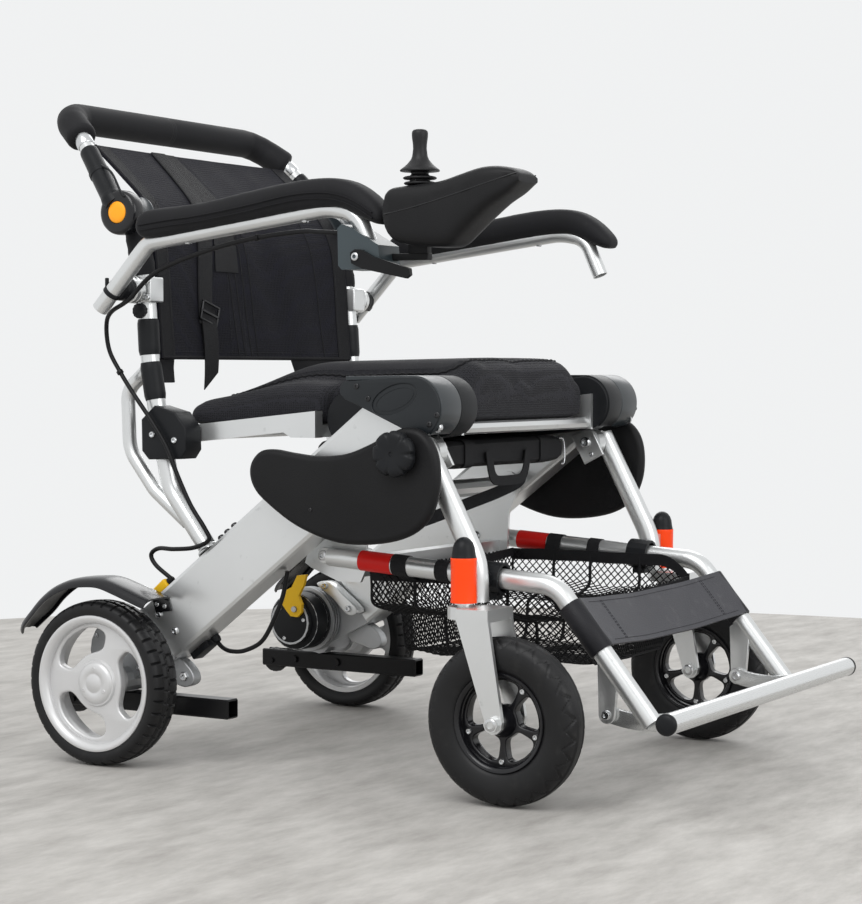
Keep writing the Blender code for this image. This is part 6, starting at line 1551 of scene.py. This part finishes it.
HUB_DISC = mm((15, 281.5), (15.2, 286.2), (17, 286.8), (25.5, 286.2), (28.2, 284.8), (29.6, 281.8), (30, 278),
              (29.8, 269), (28.8, 265.2), (26.2, 264.1), (7, 264.1), (6.8, 275), (15, 275))
BUTTON = mm((0, 288), (8, 287.9), (12.8, 287.2), (14.3, 286), (14.6, 284), (14.6, 280.2), (0, 280.2))
link("handle_hubs", turned(HUB_DISC, *both_sides(across, 0.0, [HUB]), steps=64), gloss_black, "push_handle")
for name, side in SIDES.items():
    link("hub_button_" + name, turned(BUTTON, across(side, 0.0, *HUB), steps=56), orange_button,
         "release_button_" + name, instead_of="release_button_" + name)

# Armrests
# Bright silver tubes bent down at the front, turning on barrels at the posts, under long rounded pads
# of charcoal foam with a seam along each side.

ARMREST_TRACK = 0.312
ARMREST_ROUTE = mm((344, 606.5), (262, 692), (-20, 726.5), (-60, 718), (-84, 664))
BARREL = mm((0, 309), (12, 309), (15, 306), (15.8, 302), (15, 299.5), (15.8, 297), (15.8, 290), (15, 288),
            (0, 288))
RATCHET = mm((0, 287.8), (17, 287.8), (18.6, 286.4), (18.6, 280), (17.5, 279), (18.6, 278), (18.6, 271.6),
             (17.2, 270.3), (0, 270.3))
PAD_OUTLINE = mm((274, 716), (262, 732), (216, 735.2), (167, 739), (98, 750), (28, 760), (-18, 763), (-50, 759),
                 (-74, 748), (-94, 732), (-107, 716), (-105.5, 704.5), (-95, 703), (-78, 709.5), (-60, 718),
                 (-36, 726.2), (13, 725), (100, 714), (180, 704), (250, 696), (270, 701))
PAD_SIDE = mm((262, 713), (216, 718), (167, 722), (98, 731), (28, 742), (-18, 744), (-50, 739), (-74, 729),
              (-94, 717))
PAD_HALF = 0.0228
TIE_RING = ((26, 10.8), (26.8, 12.4), (32.2, 12.4), (33, 10.8))
for name, side in SIDES.items():
    body = "armrest_" + name
    path = bent(in_side_view(side * ARMREST_TRACK, ARMREST_ROUTE), [0.035, 0.10, 0.035], steps=14)
    pivot = across(side, 0.0, *ARM_PIVOT)
    rail = joined([pipe(path, 0.0110, sides=32, bored=(True, True)), turned(RATCHET, pivot, steps=48)])
    link("armrest_rail_" + name, rail, satin_silver, body, instead_of="armrest_tube_" + name)
    tie = ring_along(path[0], (path[1] - path[0]).normalized(), TIE_RING, 32)
    tail = slab_at((side * ARMREST_TRACK, 0.33225, 0.6400), (0.0022, 0.00225, 0.0075), bevel=0.0012)
    link("armrest_barrel_" + name, joined([turned(BARREL, pivot, steps=40), tie, tail]), black_moulding, body)
    core = plate([smooth_line(PAD_OUTLINE, count=4)], side, ARMREST_TRACK - PAD_HALF, ARMREST_TRACK + PAD_HALF,
                 round_by=0.0125, steps=5)
    pad = link("arm_pad_" + name, plumped(core, limit=0.0012, grain=0.004, pressure=2.0), black_foam, body,
               angle=60, instead_of="armrest_pad_" + name)
    frames = [facing((side * ARMREST_TRACK, y, z), (0, 0.10, -1)) for y, z in mm((18, 712), (199, 690.5))]
    screws("arm_pad_screws_" + name, 4.6, 2.6, frames, bright_steel, body, steps=24)
    beads = []
    for reach, level in ((0.0236, 0.0), (0.0226, -0.0070)):
        bead = smooth_line([(side * (ARMREST_TRACK + reach), y, z + level) for y, z in PAD_SIDE], count=6,
                           closed=False)
        inside = Vector((side * 0.004, 0, 0))
        beads.append(pipe([bead[0] - inside] + bead + [bead[-1] - inside], 0.0009, sides=8))
    link("arm_pad_seams_" + name, joined(beads), piping_cloth, body)

# Joystick
# A black pod on a rail ahead of the right armrest, its nose rounded and its belly hollowed. The stick
# stands in a ribbed rubber boot, and a clamp block with a flat cam lever holds the rail.

CONTROL_TRACK = 0.312
POD_REAR = -0.1128
POD_NOSE = -0.2972
POD_TOP = mm((-112.5, 724), (-115, 740.5), (-121, 745.8), (-132, 747.5), (-160, 749.4), (-188, 752), (-216, 759),
             (-242, 765.2), (-262, 766.4), (-280, 764), (-291, 760), (-297.5, 754))
POD_BELLY = mm((-112.5, 708), (-115, 694), (-121, 685), (-132, 678.5), (-160, 674.5), (-188, 672.5),
               (-204, 674.8), (-218, 686), (-240, 705), (-262, 722), (-283, 734), (-297.5, 746))


def height_at(line, y):
    """The height of a side-view line at a distance along the chair."""
    for (y_rear, z_rear), (y_front, z_front) in zip(line, line[1:]):
        if y_front <= y <= y_rear:
            return z_rear + (z_front - z_rear) * (y_rear - y) / (y_rear - y_front)
    return line[-1][1]


def pod_half(y):
    """Half the pod's width, which narrows at its nose and a little at its rear."""
    return (0.0316 - 0.0075 * max(0.0, 1 - (y - POD_NOSE) / 0.055) ** 2
            - 0.004 * max(0.0, 1 - (POD_REAR - y) / 0.014) ** 2)


pod_top, pod_belly = (smooth_line(outline, count=5, closed=False) for outline in (POD_TOP, POD_BELLY))
rows = []
for step in range(65):
    y = POD_REAR + (POD_NOSE - POD_REAR) * step / 64
    top = height_at(pod_top, y)
    belly = height_at(pod_belly, y)
    rows.append([(-CONTROL_TRACK + along * pod_half(y), y, (top + belly) / 2 + up * (top - belly) / 2)
                 for along, up in squared_ring(56, along_power=0.46, up_power=0.46)])
shell = capped(lofted(rows, closed=True))
for vert in shell.vertices:
    parting = 0.713 + (0.757 - 0.713) * (vert.co.y + 0.108) / (0.108 - 0.296)
    if abs(vert.co.z - parting) < 0.0011:
        vert.co.x += 0.0007 * (1 if vert.co.x < -CONTROL_TRACK else -1)
rail_bar = slab((-0.2960, -0.150, 0.6600), (-0.2835, -0.036, 0.6685), bevel=0.0014)
riser = slab((-0.2955, -0.149, 0.6610), (-0.2840, -0.122, 0.6900), bevel=0.0014)
link("joystick_pod", joined([shell, rail_bar, riser]), grained_panel, "joystick", angle=50,
     instead_of="joystick_housing")
for name, reach in (("outer", -1), ("inner", 1)):
    bead = []
    for step in range(41):
        y = -0.1150 - (0.2940 - 0.1150) * step / 40
        parting = 0.7135 + 0.0425 * ((-0.1150 - y) / 0.179) ** 1.25
        bead.append((-CONTROL_TRACK + reach * (pod_half(y) - 0.0004), y, parting))
    link("pod_seam_" + name, pipe(bead, 0.0010, sides=8), gloss_black, "joystick", angle=60)
BELLOWS = mm((11.2, 761.8), (12, 760.6), (19, 759.2), (20.5, 758.2), (20.5, 757), (19, 756), (12.5, 755.2),
             (12.2, 754), (18, 752.8), (19.4, 751.8), (19.4, 750.6), (18, 749.6), (13, 749), (19, 747.4),
             (21.5, 745), (10.5, 745))
STICK = mm((0, 816.5), (5, 816.3), (8, 815.4), (9.5, 813.6), (9.9, 811), (9.6, 806), (8.6, 799), (8.3, 793),
           (9, 787), (9.6, 783.5), (11, 780), (15, 775), (20, 770.5), (23.5, 768), (24.3, 766.8), (23.8, 765.6),
           (17, 765), (11, 764), (10.4, 762), (6, 761), (4, 760), (4, 750.5), (0, 750.5))
upright = Matrix.Translation((-CONTROL_TRACK, -0.149, 0.0))
link("joystick_bellows", turned(BELLOWS, upright, steps=56), tyre_rubber, "joystick", angle=60)
link("stick_and_boot", turned(STICK, upright, steps=48), tyre_rubber, "stick", angle=60,
     instead_of="joystick_stick")
blue_grey_steel = finish("blue_grey_steel", "black_plastic", coated_metal, (0.024, 0.036, 0.042),
                         (0.042, 0.058, 0.066), (0.26, 0.40), bump=0.05, Specular_IOR_Level=0.5)
paint(["joystick_gimbal"], bright_steel)
paint(["joystick_bracket"], blue_grey_steel)
paint(["bracket_lever"], black_enamel)
screws("lever_bolt", 5.2, 2.6, [across(-1, 0.3340, -0.070, 0.664)], bright_steel, "bracket_lever", steps=28)

# Cables
# The joystick's cable runs under the armrest and down the post to a yellow plug on the box tube, held by
# two ties. It is drawn in three lengths, which meet at the chair's folds. A second one hangs from a socket under
# the tube.

cable_sheath = finish("cable_sheath", "cable_rubber", rubber, (0.004, 0.004, 0.0045), (0.010, 0.010, 0.011),
                      (0.34, 0.46), grain=1600.0)
CONTROL_ROUTE = mm((-312, -36.5, 695), (-312, 0, 697.5), (-312, 26, 698.5), (-312, 102, 691.5), (-312, 180, 676),
                   (-312, 253, 652), (-308, 300, 618), (-296, 338, 603), (-284, 356, 586), (-276, 358, 553),
                   (-274, 341, 523), (-274, 318, 493), (-274, 292, 462), (-274, 266, 427), (-274, 250, 394),
                   (-273, 227, 350), (-271.5, 204, 318), (-270, 199, 303), (-268, 224, 292), (-262, 262, 288),
                   (-253, 294, 287), (-250, 309, 278), (-250, 301, 264), (-250, 274.1, 246.3))
GEARBOX_ROUTE = mm((-225, 222.8, 171.2), (-225.8, 216, 162), (-230, 203, 155.5), (-235, 186, 153.5),
                   (-235, 166, 156), (-235, 140, 169), (-235, 122, 195), (-235, 106, 230), (-235, 98, 263.97))
control_line = smooth_line(CONTROL_ROUTE, count=8, closed=False)
CONTROL_LENGTHS = (("front", 0, 9, ("armrest_right", "backrest"), (-0.312, 0.253, 0.652), (-0.290, 0.350, 0.597)),
                   ("post", 9, 16, ("backrest", "seat"), (-0.274, 0.318, 0.493), (-0.274, 0.250, 0.394)),
                   ("tail", 16, 23, ("seat", "chassis"), (-0.270, 0.200, 0.303), (-0.270, 0.2315, 0.2636)))
for name, first, last, bodies, start, end in CONTROL_LENGTHS:
    length = link("control_cable_" + name, pipe(control_line[8 * first:8 * last + 1], 0.0030, sides=16),
                  cable_sheath, instead_of="joystick_cable")
    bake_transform(length)
plug = slab_at((0, 0, 0), (0.0085, 0.0065, 0.017), bevel=0.0028)
for vert in plug.vertices:
    vert.co.xy *= 0.86 + 0.16 * (vert.co.z + 0.017) / 0.034
plug_place = facing((-0.250, 0.29225, 0.23213), -TUBE_DOWN)
plug.transform(plug_place)
link("cable_plug", plug, yellow_moulding, "chassis")
RELIEF = mm((0, 25), (3.6, 25), (4.2, 22), (5.4, 17.2), (0, 16.5))
link("cable_relief", turned(RELIEF, plug_place, steps=24), cable_sheath, "chassis")
TIE = mm((3, 2), (4.6, 2), (4.6, -2), (3, -2))
for name, place, direction, body in (
        ("front", (-0.312, 0.0900, 0.6930), (0, 1, -0.13), "armrest_right"),
        ("post", (-0.2745, 0.3410, 0.5230), (0, 0.61, 0.79), "backrest")):
    link("cable_tie_" + name, turned(TIE, facing(place, direction), steps=24), cable_sheath, body)
link("gearbox_cable", pipe(smooth_line(GEARBOX_ROUTE, count=8, closed=False), 0.0030, sides=16), cable_sheath,
     "chassis", instead_of="motor_cable")
COLLAR = mm((0, 0), (6.2, 0), (6.2, 5), (4.8, 9), (0, 9))
collar = turned(COLLAR, facing((-0.2250, 0.2228, 0.1703), (0, -0.70, -0.71)), steps=24)
socket = slab_at((0, 0, 0), (0.0110, 0.0048, 0.0165), bevel=0.0016)
socket.transform(facing((-0.2260, 0.2394, 0.1521), -TUBE_DOWN))
link("lead_socket", joined([collar, socket]), black_moulding, "chassis")
